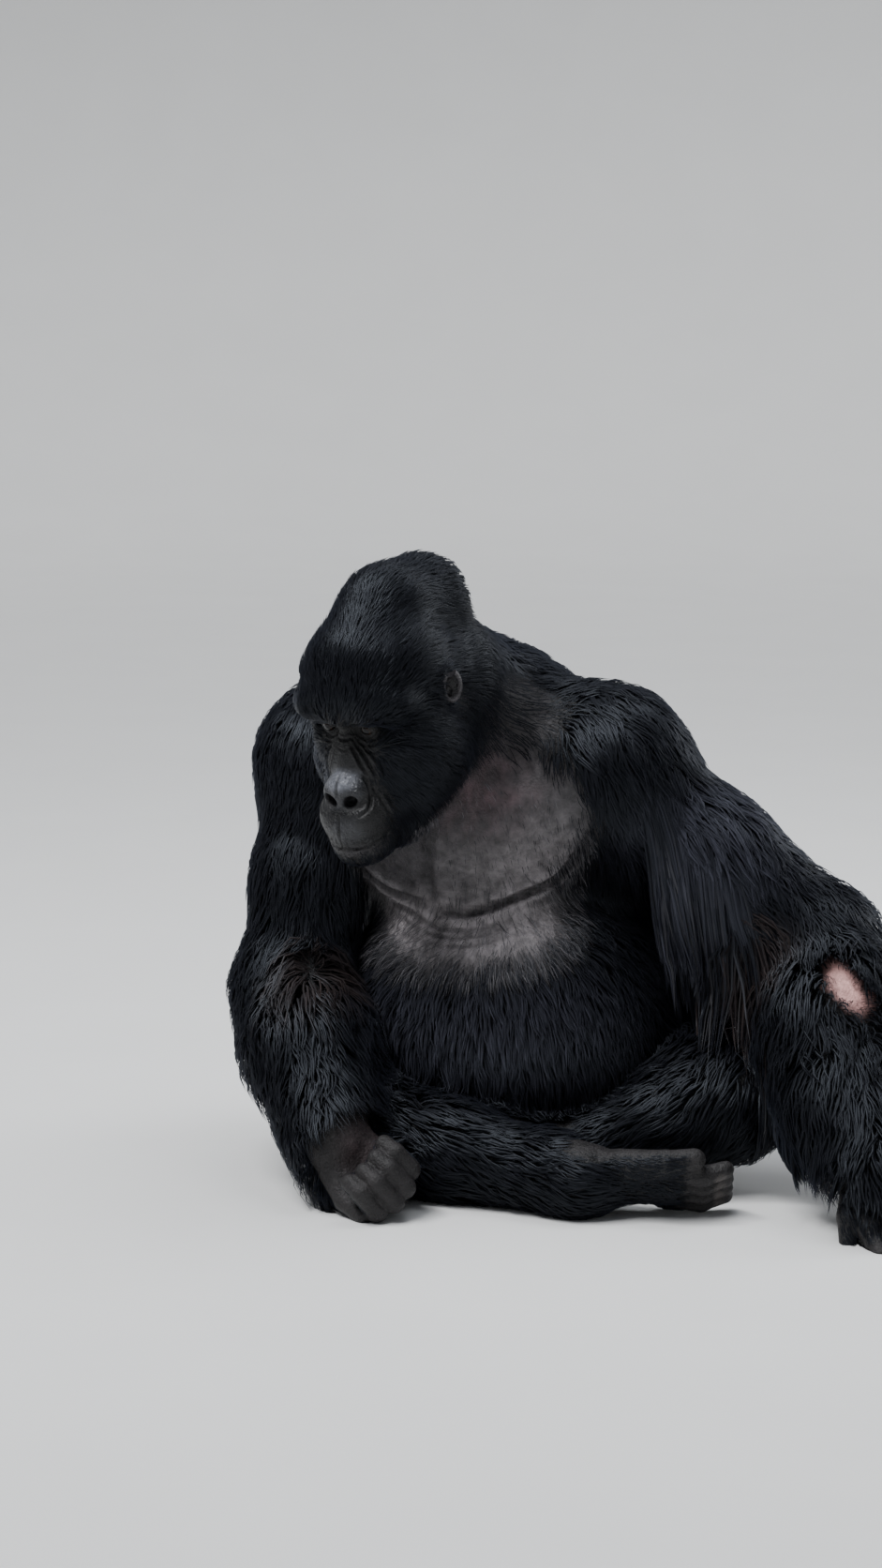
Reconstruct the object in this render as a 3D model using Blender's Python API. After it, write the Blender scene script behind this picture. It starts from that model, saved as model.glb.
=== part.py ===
"""Silverback mountain gorilla, seated cross-legged with its head turned down and to its right.

A still, life-size figure in metres: +Z is up, the chest faces -Y and the animal's left is +X.
The origin is the floor point under the pelvis.  The body is written once as rounded muscles on
named joints, out to the tips of the coat, then cut at the joints into the parts a person names.
"""
import bpy
import bmesh
import numpy as np
from math import radians
from math import cos
from math import sin
from mathutils import Matrix
from mathutils import Vector

for old in list(bpy.data.objects):
    bpy.data.objects.remove(old)

# ---------------------------------------------------------------- driving sizes
GRID = 0.0060            # spacing of the shaping grid
GAP = 0.0003             # clearance left between neighbouring parts
TRUNK_TRIANGLES = 2150   # triangles of the head and trunk before they are parted
ARM_TRIANGLES = 640      # triangles of an arm and hand
LEG_TRIANGLES = 430      # triangles of a leg and foot
CARE = 0.0400            # how strongly the face, hands and feet keep their triangles
FAR = 0.03               # distances are kept out to here
EYE_R = 0.0135           # eyeball radius
EYE_X = 0.034            # eyeballs from the middle of the face
EYE_Y = 0.021            # eyeballs behind the bridge of the nose
EYE_Z = -0.001           # eyeballs above it
EAR_OUT = {1: 0.106, -1: -0.110}     # how far each ear stands out from the middle of the head
EAR_BACK = 0.133         # ears behind the bridge of the nose
EAR_UP = 0.002           # ears above it

# joints, animal's right then left
HIP_R = (-0.115, -0.030, 0.135)
KNEE_R = (-0.066, -0.376, 0.078)
ANKLE_R = (0.268, -0.396, 0.052)
HIP_L = (0.125, -0.010, 0.135)
KNEE_L = (0.410, -0.165, 0.128)
ANKLE_L = (0.195, -0.285, 0.052)
SHOULDER_R = (-0.255, -0.155, 0.600)
ELBOW_R = (-0.232, -0.320, 0.270)
WRIST_R = (-0.066, -0.497, 0.090)
SHOULDER_L = (0.190, -0.104, 0.611)
ELBOW_L = (0.501, -0.058, 0.355)
WRIST_L = (0.675, -0.284, 0.094)
TOES_R = (0.500, -0.320, 0.030)
TOES_L = (-0.080, -0.380, 0.052)
BROW = (-0.067, -0.478, 0.691)       # bridge of the nose, between the eyes
HEAD_TURN = -11.0                    # degrees, to the animal's right
HEAD_BOW = 27.0                      # degrees, face down


def turn_z(angle):
    c = cos(radians(angle))
    s = sin(radians(angle))
    return np.array([[c, -s, 0.0], [s, c, 0.0], [0.0, 0.0, 1.0]])


def turn_x(angle):
    c = cos(radians(angle))
    s = sin(radians(angle))
    return np.array([[1.0, 0.0, 0.0], [0.0, c, -s], [0.0, s, c]])


def unit(v):
    v = np.array(v, float)
    return v / np.linalg.norm(v)


class Frame:
    """A place on the body with its own axes."""

    def __init__(self, at=(0.0, 0.0, 0.0), turn=np.eye(3)):
        self.at = np.array(at, float)
        self.turn = turn

    def __call__(self, p):
        return self.at + self.turn @ np.array(p, float)


BODY = Frame()
HEAD = Frame(BROW, turn_z(HEAD_TURN) @ turn_x(HEAD_BOW))
MUSCLES = []


def cone(chain, a, b, ra, rb, blend, coat, frame=BODY):
    """A rounded cone from a to b; coat is the depth of hair lying over it."""
    MUSCLES.append(dict(chain=chain, a=frame(a), b=frame(b), ra=ra + coat, rb=rb + coat,
                        blend=blend))


def ball(chain, at, radii, blend, coat, frame=BODY, turn=np.eye(3)):
    """A rounded mass with three radii; coat is the depth of hair lying over it."""
    MUSCLES.append(dict(chain=chain, at=frame(at), radii=np.array(radii, float) + coat,
                        turn=frame.turn @ turn, blend=blend))


# ---------------------------------------------------------------- the animal
def trunk():
    ball("trunk", (0.000, 0.035, 0.150), (0.185, 0.150, 0.145), 0.03, 0.020)
    ball("trunk", (0.033, -0.115, 0.220), (0.255, 0.225, 0.210), 0.06, 0.028)
    ball("trunk", (0.000, -0.020, 0.340), (0.215, 0.160, 0.210), 0.06, 0.020)
    ball("trunk", (-0.035, -0.105, 0.505), (0.210, 0.175, 0.170), 0.06, 0.006)
    ball("trunk", (-0.040, -0.035, 0.575), (0.190, 0.130, 0.150), 0.06, 0.020)
    for side, shoulder in ((1, SHOULDER_L), (-1, SHOULDER_R)):
        s = np.array(shoulder)
        blade = s + (-0.015 * side, 0.015, 0.000)
        armpit = s + (-0.020 * side, -0.020, -0.060)
        cone("trunk", (-0.040, -0.060, 0.640), blade, 0.098, 0.072, 0.06, 0.020)
        nape = (-0.035 + 0.045 * side, -0.125, 0.650)
        cone("trunk", nape, s + (-0.040 * side, -0.015, 0.004), 0.082, 0.070, 0.06, 0.020)
        cone("trunk", (-0.035, -0.215, 0.530), armpit, 0.075, 0.075, 0.05, 0.003)
        cone("trunk", s + (0.000, 0.020, -0.040), (0.120 * side, 0.020, 0.330), 0.080, 0.090, 0.06, 0.018)
    cone("trunk", (-0.050, -0.065, 0.622), (-0.040, -0.280, 0.740), 0.122, 0.105, 0.06, 0.022)
    cone("trunk", (-0.050, -0.170, 0.580), (-0.045, -0.330, 0.620), 0.110, 0.085, 0.05, 0.006)


def head():
    """Skull, jaw, brow, nose and muzzle; measured from the bridge of the nose."""
    ball("trunk", (0.000, 0.106, 0.022), (0.078, 0.096, 0.074), 0.04, 0.018, HEAD)
    cone("trunk", (0.000, 0.088, 0.054), (0.000, 0.168, 0.106), 0.037, 0.042, 0.04, 0.018, HEAD)
    cone("trunk", (0.000, 0.168, 0.106), (0.000, 0.238, 0.072), 0.042, 0.060, 0.04, 0.018, HEAD)
    ball("trunk", (0.000, 0.056, 0.056), (0.066, 0.038, 0.042), 0.05, 0.011, HEAD)
    cone("trunk", (0.000, 0.060, 0.058), (0.000, 0.130, 0.095), 0.036, 0.037, 0.05, 0.014, HEAD)
    for side in (1, -1):
        ball("trunk", (0.046 * side, 0.108, 0.034), (0.042, 0.068, 0.060), 0.03, 0.018, HEAD)
        ball("trunk", (0.058 * side, 0.078, -0.080), (0.042, 0.060, 0.074), 0.04, 0.018, HEAD)
        ball("trunk", (0.050 * side, 0.034, -0.034), (0.026, 0.026, 0.022), 0.016, 0.002, HEAD)
        brow(side)
    cone("trunk", (0.000, 0.045, -0.148), (0.000, 0.045, -0.150), 0.060, 0.060, 0.04, 0.010, HEAD)
    muzzle()


def brow(side):
    inner = (0.002 * side, 0.007, 0.034)
    arch = (0.044 * side, 0.013, 0.035)
    outer = (0.073 * side, 0.034, 0.025)
    end = (0.079 * side, 0.058, 0.000)
    cone("trunk", inner, arch, 0.0180, 0.0190, 0.022, 0.004, HEAD)
    cone("trunk", arch, outer, 0.0190, 0.0170, 0.018, 0.006, HEAD)
    cone("trunk", outer, end, 0.0170, 0.0140, 0.018, 0.008, HEAD)


def muzzle():
    ball("trunk", (0.000, -0.020, -0.140), (0.052, 0.0560, 0.052), 0.025, 0.000, HEAD)
    ball("trunk", (0.000, -0.028, -0.172), (0.043, 0.0460, 0.028), 0.018, 0.002, HEAD)
    for side in (1, -1):
        cheek = (0.034 * side, 0.030, -0.040)
        cone("trunk", cheek, (0.030 * side, 0.008, -0.110), 0.024, 0.030, 0.02, 0.001, HEAD)
        fold = (0.018 * side, 0.000, -0.066)
        cone("trunk", (0.012 * side, 0.026, -0.016), fold, 0.015, 0.022, 0.015, 0.0, HEAD)
        lip = (0.030 * side, -0.046, -0.160)
        cone("trunk", (0.000, -0.065, -0.163), lip, 0.0115, 0.0100, 0.008, 0.0, HEAD)
        upper = (0.026 * side, -0.030, -0.118)
        ball("trunk", upper, (0.026, 0.032, 0.026), 0.020, 0.000, HEAD)
    cone("trunk", (0.000, 0.027, 0.004), (0.000, -0.003, -0.052), 0.018, 0.023, 0.015, 0.0, HEAD)
    ball("trunk", (0.000, -0.030, -0.075), (0.028, 0.0230, 0.0230), 0.010, 0.000, HEAD)
    for side in (1, -1):
        ball("trunk", (0.0200 * side, -0.029, -0.084), (0.0180, 0.0225, 0.0215), 0.006, 0.0, HEAD)
    cone("trunk", (0.000, -0.040, -0.082), (0.000, -0.047, -0.108), 0.0080, 0.0110, 0.012, 0.0, HEAD)


def hand(chain, wrist, along, palm, side, bends):
    """Palm, four fingers and a thumb; bends are the turns at the three joints of a finger."""
    along = unit(along)
    palm = unit(np.array(palm) - along * np.dot(along, palm))
    thumbward = np.cross(along, palm) * side
    wrist = np.array(wrist)
    for offset, stretch in ((0.038, 0.96), (0.013, 1.03), (-0.013, 1.00), (-0.037, 0.88)):
        heel = wrist + thumbward * offset * 0.5 + along * 0.010
        knuckle = wrist + thumbward * offset + along * 0.096 * stretch
        cone(chain, heel, knuckle, 0.024, 0.021, 0.014, 0.003)
        angle = 0.0
        start = knuckle
        for bend, length, radius in zip(bends, (0.056, 0.040, 0.024), (0.0165, 0.0150, 0.0130)):
            angle = angle + radians(bend)
            tip = start + (along * cos(angle) + palm * sin(angle)) * length * stretch
            cone(chain, start, tip, radius + 0.001, radius, 0.004, 0.0)
            start = tip
    root = wrist + along * 0.030 + thumbward * 0.034 + palm * 0.006
    bend = root + unit(along + 0.55 * thumbward + 0.35 * palm) * 0.046
    tip = bend + unit(along + 0.05 * thumbward + 0.40 * palm) * 0.042
    cone(chain, root, bend, 0.025, 0.016, 0.012, 0.0)
    cone(chain, bend, tip, 0.0155, 0.0125, 0.004, 0.0)


def arm(chain, shoulder, elbow, wrist):
    shoulder = np.array(shoulder)
    elbow = np.array(elbow)
    wrist = np.array(wrist)
    biceps = shoulder + (elbow - shoulder) * 0.50
    belly = elbow + (wrist - elbow) * 0.35
    ball(chain, shoulder, (0.088, 0.092, 0.094), 0.05, 0.022)
    cone(chain, shoulder, biceps, 0.076, 0.067, 0.05, 0.020)
    cone(chain, biceps, elbow, 0.067, 0.066, 0.05, 0.026)
    cone(chain, elbow, belly, 0.066, 0.070, 0.04, 0.038)
    cone(chain, belly, wrist, 0.070, 0.048, 0.04, 0.040)


def fringes():
    """Long hair that hangs from the left arm, and the thin-haired place inside its forearm."""
    shoulder, elbow, wrist = (np.array(p) for p in (SHOULDER_L, ELBOW_L, WRIST_L))
    start = shoulder * 0.66 + elbow * 0.34 + (0.0, -0.010, -0.090)
    end = shoulder * 0.26 + elbow * 0.74 + (0.0, -0.015, -0.130)
    cone("arm_l", start, end, -0.050, -0.050, 0.05, 0.140)
    inner = np.array((-0.040, -0.020, -0.004))
    start = elbow * 0.92 + wrist * 0.08 + inner
    cone("arm_l", start, elbow * 0.30 + wrist * 0.70 + inner * 0.9, 0.026, 0.026, 0.05, 0.066)
    ball("arm_l", (0.575, -0.126, 0.314), (0.046, 0.046, 0.050), 0.03, 0.006)
    cone("leg_l", (0.280, -0.095, 0.145), (0.395, -0.150, 0.150), 0.055, 0.050, 0.05, 0.034)


def foot(chain, ankle, along, sole, side):
    """Heel, sole, four toes and the big toe, which stands apart like a thumb."""
    along = unit(along)
    sole = unit(np.array(sole) - along * np.dot(along, sole))
    inward = np.cross(along, sole) * side
    ankle = np.array(ankle)
    cone(chain, ankle, ankle - along * 0.045 + sole * 0.020, 0.044, 0.036, 0.03, 0.004)
    cone(chain, ankle + sole * 0.012, ankle + along * 0.130 + sole * 0.022, 0.040, 0.029, 0.03, 0.004)
    for offset in (0.027, 0.006, -0.015, -0.034):
        base = ankle + along * 0.122 + inward * offset + sole * 0.022
        knuckle = base + along * 0.054
        cone(chain, base, knuckle, 0.0185, 0.0150, 0.010, 0.001)
        cone(chain, knuckle, knuckle + unit(along + 0.6 * sole) * 0.036, 0.0148, 0.0128, 0.004, 0.0)
    root = ankle + along * 0.060 + inward * 0.030 + sole * 0.014
    bend = root + unit(along + 0.40 * inward) * 0.066
    cone(chain, root, bend, 0.026, 0.0195, 0.015, 0.001)
    cone(chain, bend, bend + unit(along + 0.10 * inward + 0.3 * sole) * 0.044, 0.019, 0.016, 0.004, 0.0)


def leg(chain, hip, knee, ankle):
    hip = np.array(hip)
    knee = np.array(knee)
    ankle = np.array(ankle)
    calf = knee + (ankle - knee) * 0.35
    cone(chain, hip, knee, 0.106, 0.062, 0.05, 0.024)
    cone(chain, knee, calf, 0.060, 0.058, 0.04, 0.020)
    cone(chain, calf, ankle, 0.058, 0.038, 0.04, 0.018)


trunk()
head()
arm("arm_r", SHOULDER_R, ELBOW_R, WRIST_R)
hand("arm_r", WRIST_R, (0.80, 0.00, -0.60), (0.45, -0.80, 0.40), 1, (62.0, 78.0, 50.0))
arm("arm_l", SHOULDER_L, ELBOW_L, WRIST_L)
fringes()
hand("arm_l", WRIST_L, (0.45, -0.42, -0.80), (-0.55, 0.30, -0.45), -1, (-8.0, 98.0, 40.0))
leg("leg_r", HIP_R, KNEE_R, ANKLE_R)
foot("leg_r", ANKLE_R, (0.95, 0.27, -0.12), (0.00, 0.80, 0.60), 1)
leg("leg_l", HIP_L, KNEE_L, ANKLE_L)
foot("leg_l", ANKLE_L, (-0.94, -0.33, 0.00), (0.00, 0.80, 0.60), -1)


# ---------------------------------------------------------------- shaping
def cone_distance(p, m):
    axis = m["b"] - m["a"]
    rel = [p[i] - m["a"][i] for i in range(3)]
    t = np.clip(sum(rel[i] * axis[i] for i in range(3)) / float(axis @ axis), 0.0, 1.0)
    away = np.sqrt(sum((rel[i] - t * axis[i]) ** 2 for i in range(3)))
    return away - (m["ra"] + (m["rb"] - m["ra"]) * t)


def ball_distance(p, m):
    rel = [p[i] - m["at"][i] for i in range(3)]
    turned = [sum(rel[i] * m["turn"][i, j] for i in range(3)) for j in range(3)]
    near = np.sqrt(sum((turned[j] / m["radii"][j]) ** 2 for j in range(3)))
    slope = np.sqrt(sum((turned[j] / m["radii"][j] ** 2) ** 2 for j in range(3)))
    return near * (near - 1.0) / np.maximum(slope, 1e-6)


def distance(p, m):
    if "at" in m:
        return ball_distance(p, m)
    return cone_distance(p, m)


def reach_of(m):
    if "at" in m:
        span = np.sqrt(((m["turn"] * m["radii"]) ** 2).sum(axis=1))
        return m["at"] - span, m["at"] + span
    r = max(m["ra"], m["rb"])
    return np.minimum(m["a"], m["b"]) - r, np.maximum(m["a"], m["b"]) + r


def soft_min(a, b, blend):
    h = np.clip(0.5 + 0.5 * (a - b) / blend, 0.0, 1.0)
    return a + (b - a) * h - blend * h * (1.0 - h)


class Field:
    """Distances to one chain of muscles on a regular grid that just holds it."""

    def __init__(self, chain, step):
        own = [m for m in MUSCLES if m["chain"] == chain]
        spans = [reach_of(m) for m in own]
        margin = 3.0 * step
        self.step = step
        self.lo = np.min([low for low, high in spans], axis=0) - margin
        high_end = np.max([high for low, high in spans], axis=0) + margin
        self.size = np.ceil((high_end - self.lo) / step).astype(int) + 1
        self.axes = [self.lo[i] + step * np.arange(self.size[i]) for i in range(3)]
        self.values = np.full(self.size, FAR, np.float32)
        for m, (low, high) in zip(own, spans):
            pad = m["blend"] + FAR
            first = np.floor((low - pad - self.lo) / step).astype(int).clip(0)
            last = np.minimum(np.ceil((high + pad - self.lo) / step).astype(int) + 1, self.size)
            window = tuple(slice(first[i], last[i]) for i in range(3))
            d = distance(self.points(window), m).astype(np.float32)
            self.values[window] = soft_min(self.values[window], d, m["blend"])

    def points(self, window):
        x, y, z = (self.axes[i][window[i]] for i in range(3))
        return x[:, None, None], y[None, :, None], z[None, None, :]


CORNERS = [(i, j, k) for i in (0, 1) for j in (0, 1) for k in (0, 1)]
DIAGONALS = (((0, 0, 0), (1, 1, 1)), ((1, 0, 0), (0, 1, 1)), ((0, 1, 0), (1, 0, 1)), ((0, 0, 1), (1, 1, 0)))


def cell_corner(size, corner):
    """The slices that pick one corner of every cell of a grid."""
    return tuple(slice(corner[i], size[i] - 1 + corner[i]) for i in range(3))


def settled(values):
    """Fill the corners that would pinch the surface to a shared edge or point."""
    values = values.copy()
    slim = np.float32(-1e-5)
    for _ in range(12):
        changed = 0
        for u, v in ((0, 1), (0, 2), (1, 2)):
            views = {}
            for i in (0, 1):
                for j in (0, 1):
                    cutout = [slice(None)] * 3
                    cutout[u] = slice(i, values.shape[u] - 1 + i)
                    cutout[v] = slice(j, values.shape[v] - 1 + j)
                    views[i, j] = values[tuple(cutout)]
            a, b, c, d = (views[k] < 0.0 for k in ((0, 0), (1, 1), (0, 1), (1, 0)))
            pinched = (a & b & ~c & ~d) | (~a & ~b & c & d)
            changed += int(pinched.sum())
            for k in views:
                view = views[k]
                view[pinched & (view >= 0.0)] = slim
        for near, far in DIAGONALS:
            p = values[cell_corner(values.shape, near)]
            q = values[cell_corner(values.shape, far)]
            corners = [values[cell_corner(values.shape, c)] for c in CORNERS]
            count = sum((c < 0.0).astype(np.uint8) for c in corners)
            lonely = (count == 2) & (p < 0.0) & (q < 0.0)
            lonely |= (count == 6) & (p >= 0.0) & (q >= 0.0)
            changed += int(lonely.sum())
            for c in corners:
                c[lonely & (c >= 0.0)] = slim
        if changed == 0:
            break
    return values


def wrap(field):
    """Quads around the places where the distance changes sign, one corner point in each grid cell."""
    values = settled(field.values)
    inside = values < 0.0
    n = values.shape
    count = np.zeros([s - 1 for s in n], np.uint8)
    for corner in CORNERS:
        count += inside[cell_corner(n, corner)]
    active = (count > 0) & (count < 8)
    number = np.full(active.shape, -1, np.int64)
    cells = np.argwhere(active)
    number[active] = np.arange(len(cells))
    place = np.zeros((len(cells), 3))
    weight = np.zeros(len(cells))
    level = {c: values[tuple((cells + c).T)] for c in CORNERS}
    for c in CORNERS:
        for axis in range(3):
            if c[axis] == 1:
                continue
            other = tuple(1 if a == axis else c[a] for a in range(3))
            crossed = (level[c] < 0.0) != (level[other] < 0.0)
            span = np.where(crossed, level[c] - level[other], 1.0)
            point = np.repeat(np.array([c], float), len(cells), axis=0)
            point[:, axis] = np.clip(level[c] / span, 0.0, 1.0)
            place[crossed] += point[crossed]
            weight[crossed] += 1.0
    place = (cells + place / weight[:, None]) * field.step + field.lo
    quads = []
    for axis in range(3):
        u = (axis + 1) % 3
        v = (axis + 2) % 3
        head_cut = [slice(None)] * 3
        tail_cut = [slice(None)] * 3
        head_cut[axis] = slice(0, n[axis] - 1)
        tail_cut[axis] = slice(1, n[axis])
        first = inside[tuple(head_cut)]
        edges = np.argwhere(first != inside[tuple(tail_cut)])
        clear = (edges[:, u] > 0) & (edges[:, u] < n[u] - 1)
        clear &= (edges[:, v] > 0) & (edges[:, v] < n[v] - 1)
        edges = edges[clear]
        ring = []
        for du, dv in ((1, 1), (0, 1), (0, 0), (1, 0)):
            cell = edges.copy()
            cell[:, u] -= du
            cell[:, v] -= dv
            ring.append(number[tuple(cell.T)])
        ring = np.stack(ring, axis=1)
        outward = first[tuple(edges.T)]
        ring[~outward] = ring[~outward][:, ::-1]
        quads.append(ring[(ring >= 0).all(axis=1)])
    return place, np.concatenate(quads)


def new_object(name, verts, faces):
    mesh = bpy.data.meshes.new(name)
    mesh.from_pydata([tuple(v) for v in verts], [], [tuple(f) for f in faces])
    mesh.update()
    obj = bpy.data.objects.new(name, mesh)
    bpy.context.scene.collection.objects.link(obj)
    return obj


BOX_FACES = [(0, 1, 3, 2), (4, 6, 7, 5), (0, 4, 5, 1), (2, 3, 7, 6), (0, 2, 6, 4), (1, 5, 7, 3)]


def block(name, low, high):
    ends = (low, high)
    corners = [(ends[i][0], ends[j][1], ends[k][2]) for i, j, k in CORNERS]
    return new_object(name, corners, BOX_FACES)


def applied(obj):
    """Bake the object's modifiers into its mesh."""
    graph = bpy.context.evaluated_depsgraph_get()
    mesh = bpy.data.meshes.new_from_object(obj.evaluated_get(graph))
    obj.modifiers.clear()
    obj.data = mesh
    return obj


def reduced(obj, triangles, spots):
    """Fewer triangles, kept dense around the given (centre, radius) spots."""
    group = obj.vertex_groups.new(name="coarse")
    co = np.array([v.co[:] for v in obj.data.vertices])
    weight = np.ones(len(co))
    for centre, radius in spots:
        away = np.linalg.norm(co - np.array(centre), axis=1)
        weight = np.minimum(weight, np.clip(away / radius, 0.0, 1.0))
    for i, w in enumerate(weight):
        group.add([i], float(w), "REPLACE")
    mod = obj.modifiers.new("reduce", "DECIMATE")
    mod.ratio = triangles / (2.0 * len(obj.data.polygons))
    mod.vertex_group = group.name
    mod.vertex_group_factor = CARE
    mod.use_collapse_triangulate = True
    applied(obj)
    obj.vertex_groups.clear()
    return obj


def flat_base(obj):
    """Cut the figure at floor level, so that everything it rests on is one flat height."""
    cut(obj, block("below_floor", (-2.0, -2.0, -1.0), (2.0, 2.0, 0.0)))


def cut(obj, cutter):
    """Take the cutter out of the object and delete the cutter."""
    cutter.hide_render = True
    cutter.display_type = "WIRE"
    mod = obj.modifiers.new("cut", "BOOLEAN")
    mod.operation = "DIFFERENCE"
    mod.solver = "EXACT"
    mod.object = cutter
    applied(obj)
    bpy.data.objects.remove(cutter)


def islands(obj):
    """The separate pieces of the object as (centre, volume, mesh builder) entries."""
    bm = bmesh.new()
    bm.from_mesh(obj.data)
    bm.verts.ensure_lookup_table()
    label = [-1] * len(bm.verts)
    groups = []
    for seed in bm.verts:
        if label[seed.index] >= 0:
            continue
        stack = [seed]
        label[seed.index] = len(groups)
        members = []
        while stack:
            v = stack.pop()
            members.append(v.index)
            for e in v.link_edges:
                w = e.other_vert(v)
                if label[w.index] < 0:
                    label[w.index] = len(groups)
                    stack.append(w)
        groups.append(members)
    faces = [[] for _ in groups]
    for f in bm.faces:
        faces[label[f.verts[0].index]].append([v.index for v in f.verts])
    coords = [v.co.copy() for v in bm.verts]
    bm.free()
    pieces = []
    for members, own in zip(groups, faces):
        renumber = {old: new for new, old in enumerate(members)}
        verts = [coords[i] for i in members]
        polys = [[renumber[i] for i in f] for f in own]
        pieces.append((verts, polys))
    return pieces


def volume_of(verts, polys):
    total = 0.0
    for f in polys:
        for i in range(1, len(f) - 1):
            total += verts[f[0]].dot(verts[f[i]].cross(verts[f[i + 1]])) / 6.0
    return total


def middle_of(verts):
    return sum(verts, Vector()) / len(verts)


def tidy(obj):
    """Drop the scraps a cut leaves and keep the main body."""
    verts, polys = max(islands(obj), key=lambda piece: abs(volume_of(*piece)))
    name = obj.name
    bpy.data.objects.remove(obj)
    return new_object(name, verts, polys)


def grown(obj, depth):
    """A copy of the object a little larger all round, to make room for it in a neighbour."""
    mesh = obj.data.copy()
    room = bpy.data.objects.new("room_for_" + obj.name, mesh)
    bpy.context.scene.collection.objects.link(room)
    bm = bmesh.new()
    bm.from_mesh(mesh)
    bm.normal_update()
    steps = []
    for v in bm.verts:
        slack = min(v.normal.dot(f.normal) for f in v.link_faces)
        steps.append(v.normal * depth / max(slack, 0.35))
    for v, step in zip(bm.verts, steps):
        v.co += step
    bm.to_mesh(mesh)
    bm.free()
    return room


def parted(obj, at, facing, names, wide=0.30, tall=0.30):
    """Saw the object in two at a joint; the first name goes to the side the axis points away from."""
    plane_saw(obj, at, facing, wide, tall)
    pieces = sorted(islands(obj), key=lambda piece: -abs(volume_of(*piece)))[:2]
    bpy.data.objects.remove(obj)
    pieces.sort(key=lambda piece: (middle_of(piece[0]) - Vector(at)).dot(Vector(facing)))
    return [new_object(name, *piece) for name, piece in zip(names, pieces)]


def plane_saw(obj, at, facing, wide, tall):
    """Saw across the object with a thin upright or tilted blade of the given half sizes."""
    facing = Vector(facing).normalized()
    side = Vector((0.0, 0.0, 1.0)).cross(facing).normalized()
    up = facing.cross(side)
    corners = []
    for i, j, k in CORNERS:
        across = side * (wide * (2 * i - 1)) + up * (tall * (2 * j - 1))
        corners.append(Vector(at) + across + facing * (GAP / 2.0 * (2 * k - 1)))
    saw = new_object("saw", corners, BOX_FACES)
    bm = bmesh.new()
    bm.from_mesh(saw.data)
    bmesh.ops.recalc_face_normals(bm, faces=bm.faces)
    bm.to_mesh(saw.data)
    bm.free()
    cut(obj, saw)


def sphere(name, frame, at, radii, turn=np.eye(3), rings=16):
    bm = bmesh.new()
    bmesh.ops.create_uvsphere(bm, u_segments=2 * rings, v_segments=rings, radius=1.0)
    basis = Matrix((frame.turn @ turn).tolist()).to_4x4()
    bm.transform(Matrix.Translation(Vector(frame(at))) @ basis @ Matrix.Diagonal((*radii, 1.0)))
    faces = [[v.index for v in f.verts] for f in bm.faces]
    obj = new_object(name, [v.co[:] for v in bm.verts], faces)
    bm.free()
    return obj


def ear(side):
    """A small upright ear with a hollow bowl, and the clearance it stands in."""
    at = np.array((EAR_OUT[side], EAR_BACK, EAR_UP))
    turn = turn_z(-25.0 * side) @ turn_x(-12.0)
    radii = np.array((0.0115, 0.0185, 0.0270))
    shell = sphere("ear_" + "rl"[side > 0], HEAD, at, radii, turn, 7)
    hollow = at + turn @ np.array((0.0115 * side, -0.0015, 0.0015))
    cut(shell, sphere("bowl", HEAD, hollow, (0.0110, 0.0110, 0.0185), turn, 6))
    room = sphere("room", HEAD, at, radii + GAP, turn, 7)
    return shell, room


def eye(side):
    """An eyeball, the socket it sits in and the slit between the lids."""
    at = np.array((EYE_X * side, EYE_Y, EYE_Z))
    rings = 7
    inflate = 1.0 / cos(radians(90.0 / rings)) ** 2
    ball_part = sphere("eye_" + "rl"[side > 0], HEAD, at, (EYE_R,) * 3, np.eye(3), rings)
    room = sphere("socket", HEAD, at, ((EYE_R + GAP) * inflate,) * 3, np.eye(3), rings)
    slit = sphere("slit", HEAD, at - np.array((0.0, 0.020, 0.0)), (0.017, 0.022, 0.0085), np.eye(3), rings)
    return ball_part, room, slit


def shaped(chain, triangles, spots):
    verts, quads = wrap(Field(chain, GRID))
    obj = reduced(new_object(chain, verts, quads), triangles, spots)
    flat_base(obj)
    return tidy(obj)


FACE = (HEAD((0.0, -0.01, -0.06)), 0.16)
FINGERS_R = (np.array(WRIST_R) + (0.03, -0.03, -0.05), 0.13)
FINGERS_L = (np.array(WRIST_L) + (0.03, -0.03, -0.05), 0.13)
INSTEP_R = (np.array(ANKLE_R) + (0.12, 0.04, 0.0), 0.14)
INSTEP_L = (np.array(ANKLE_L) + (-0.12, -0.03, 0.0), 0.14)
chains = {"trunk": shaped("trunk", TRUNK_TRIANGLES, [FACE]),
          "arm_r": shaped("arm_r", ARM_TRIANGLES, [FINGERS_R]),
          "arm_l": shaped("arm_l", ARM_TRIANGLES, [FINGERS_L]),
          "leg_r": shaped("leg_r", LEG_TRIANGLES, [INSTEP_R]),
          "leg_l": shaped("leg_l", LEG_TRIANGLES, [INSTEP_L])}
ORDER = ("arm_r", "arm_l", "leg_r", "leg_l", "trunk")
rooms = {name: grown(chains[name], GAP) for name in ORDER}
for rank, name in enumerate(ORDER):
    for later in ORDER[rank + 1:]:
        room = rooms[name].copy()
        bpy.context.scene.collection.objects.link(room)
        cut(chains[later], room)
        chains[later] = tidy(chains[later])
for room in rooms.values():
    bpy.data.objects.remove(room)

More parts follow.
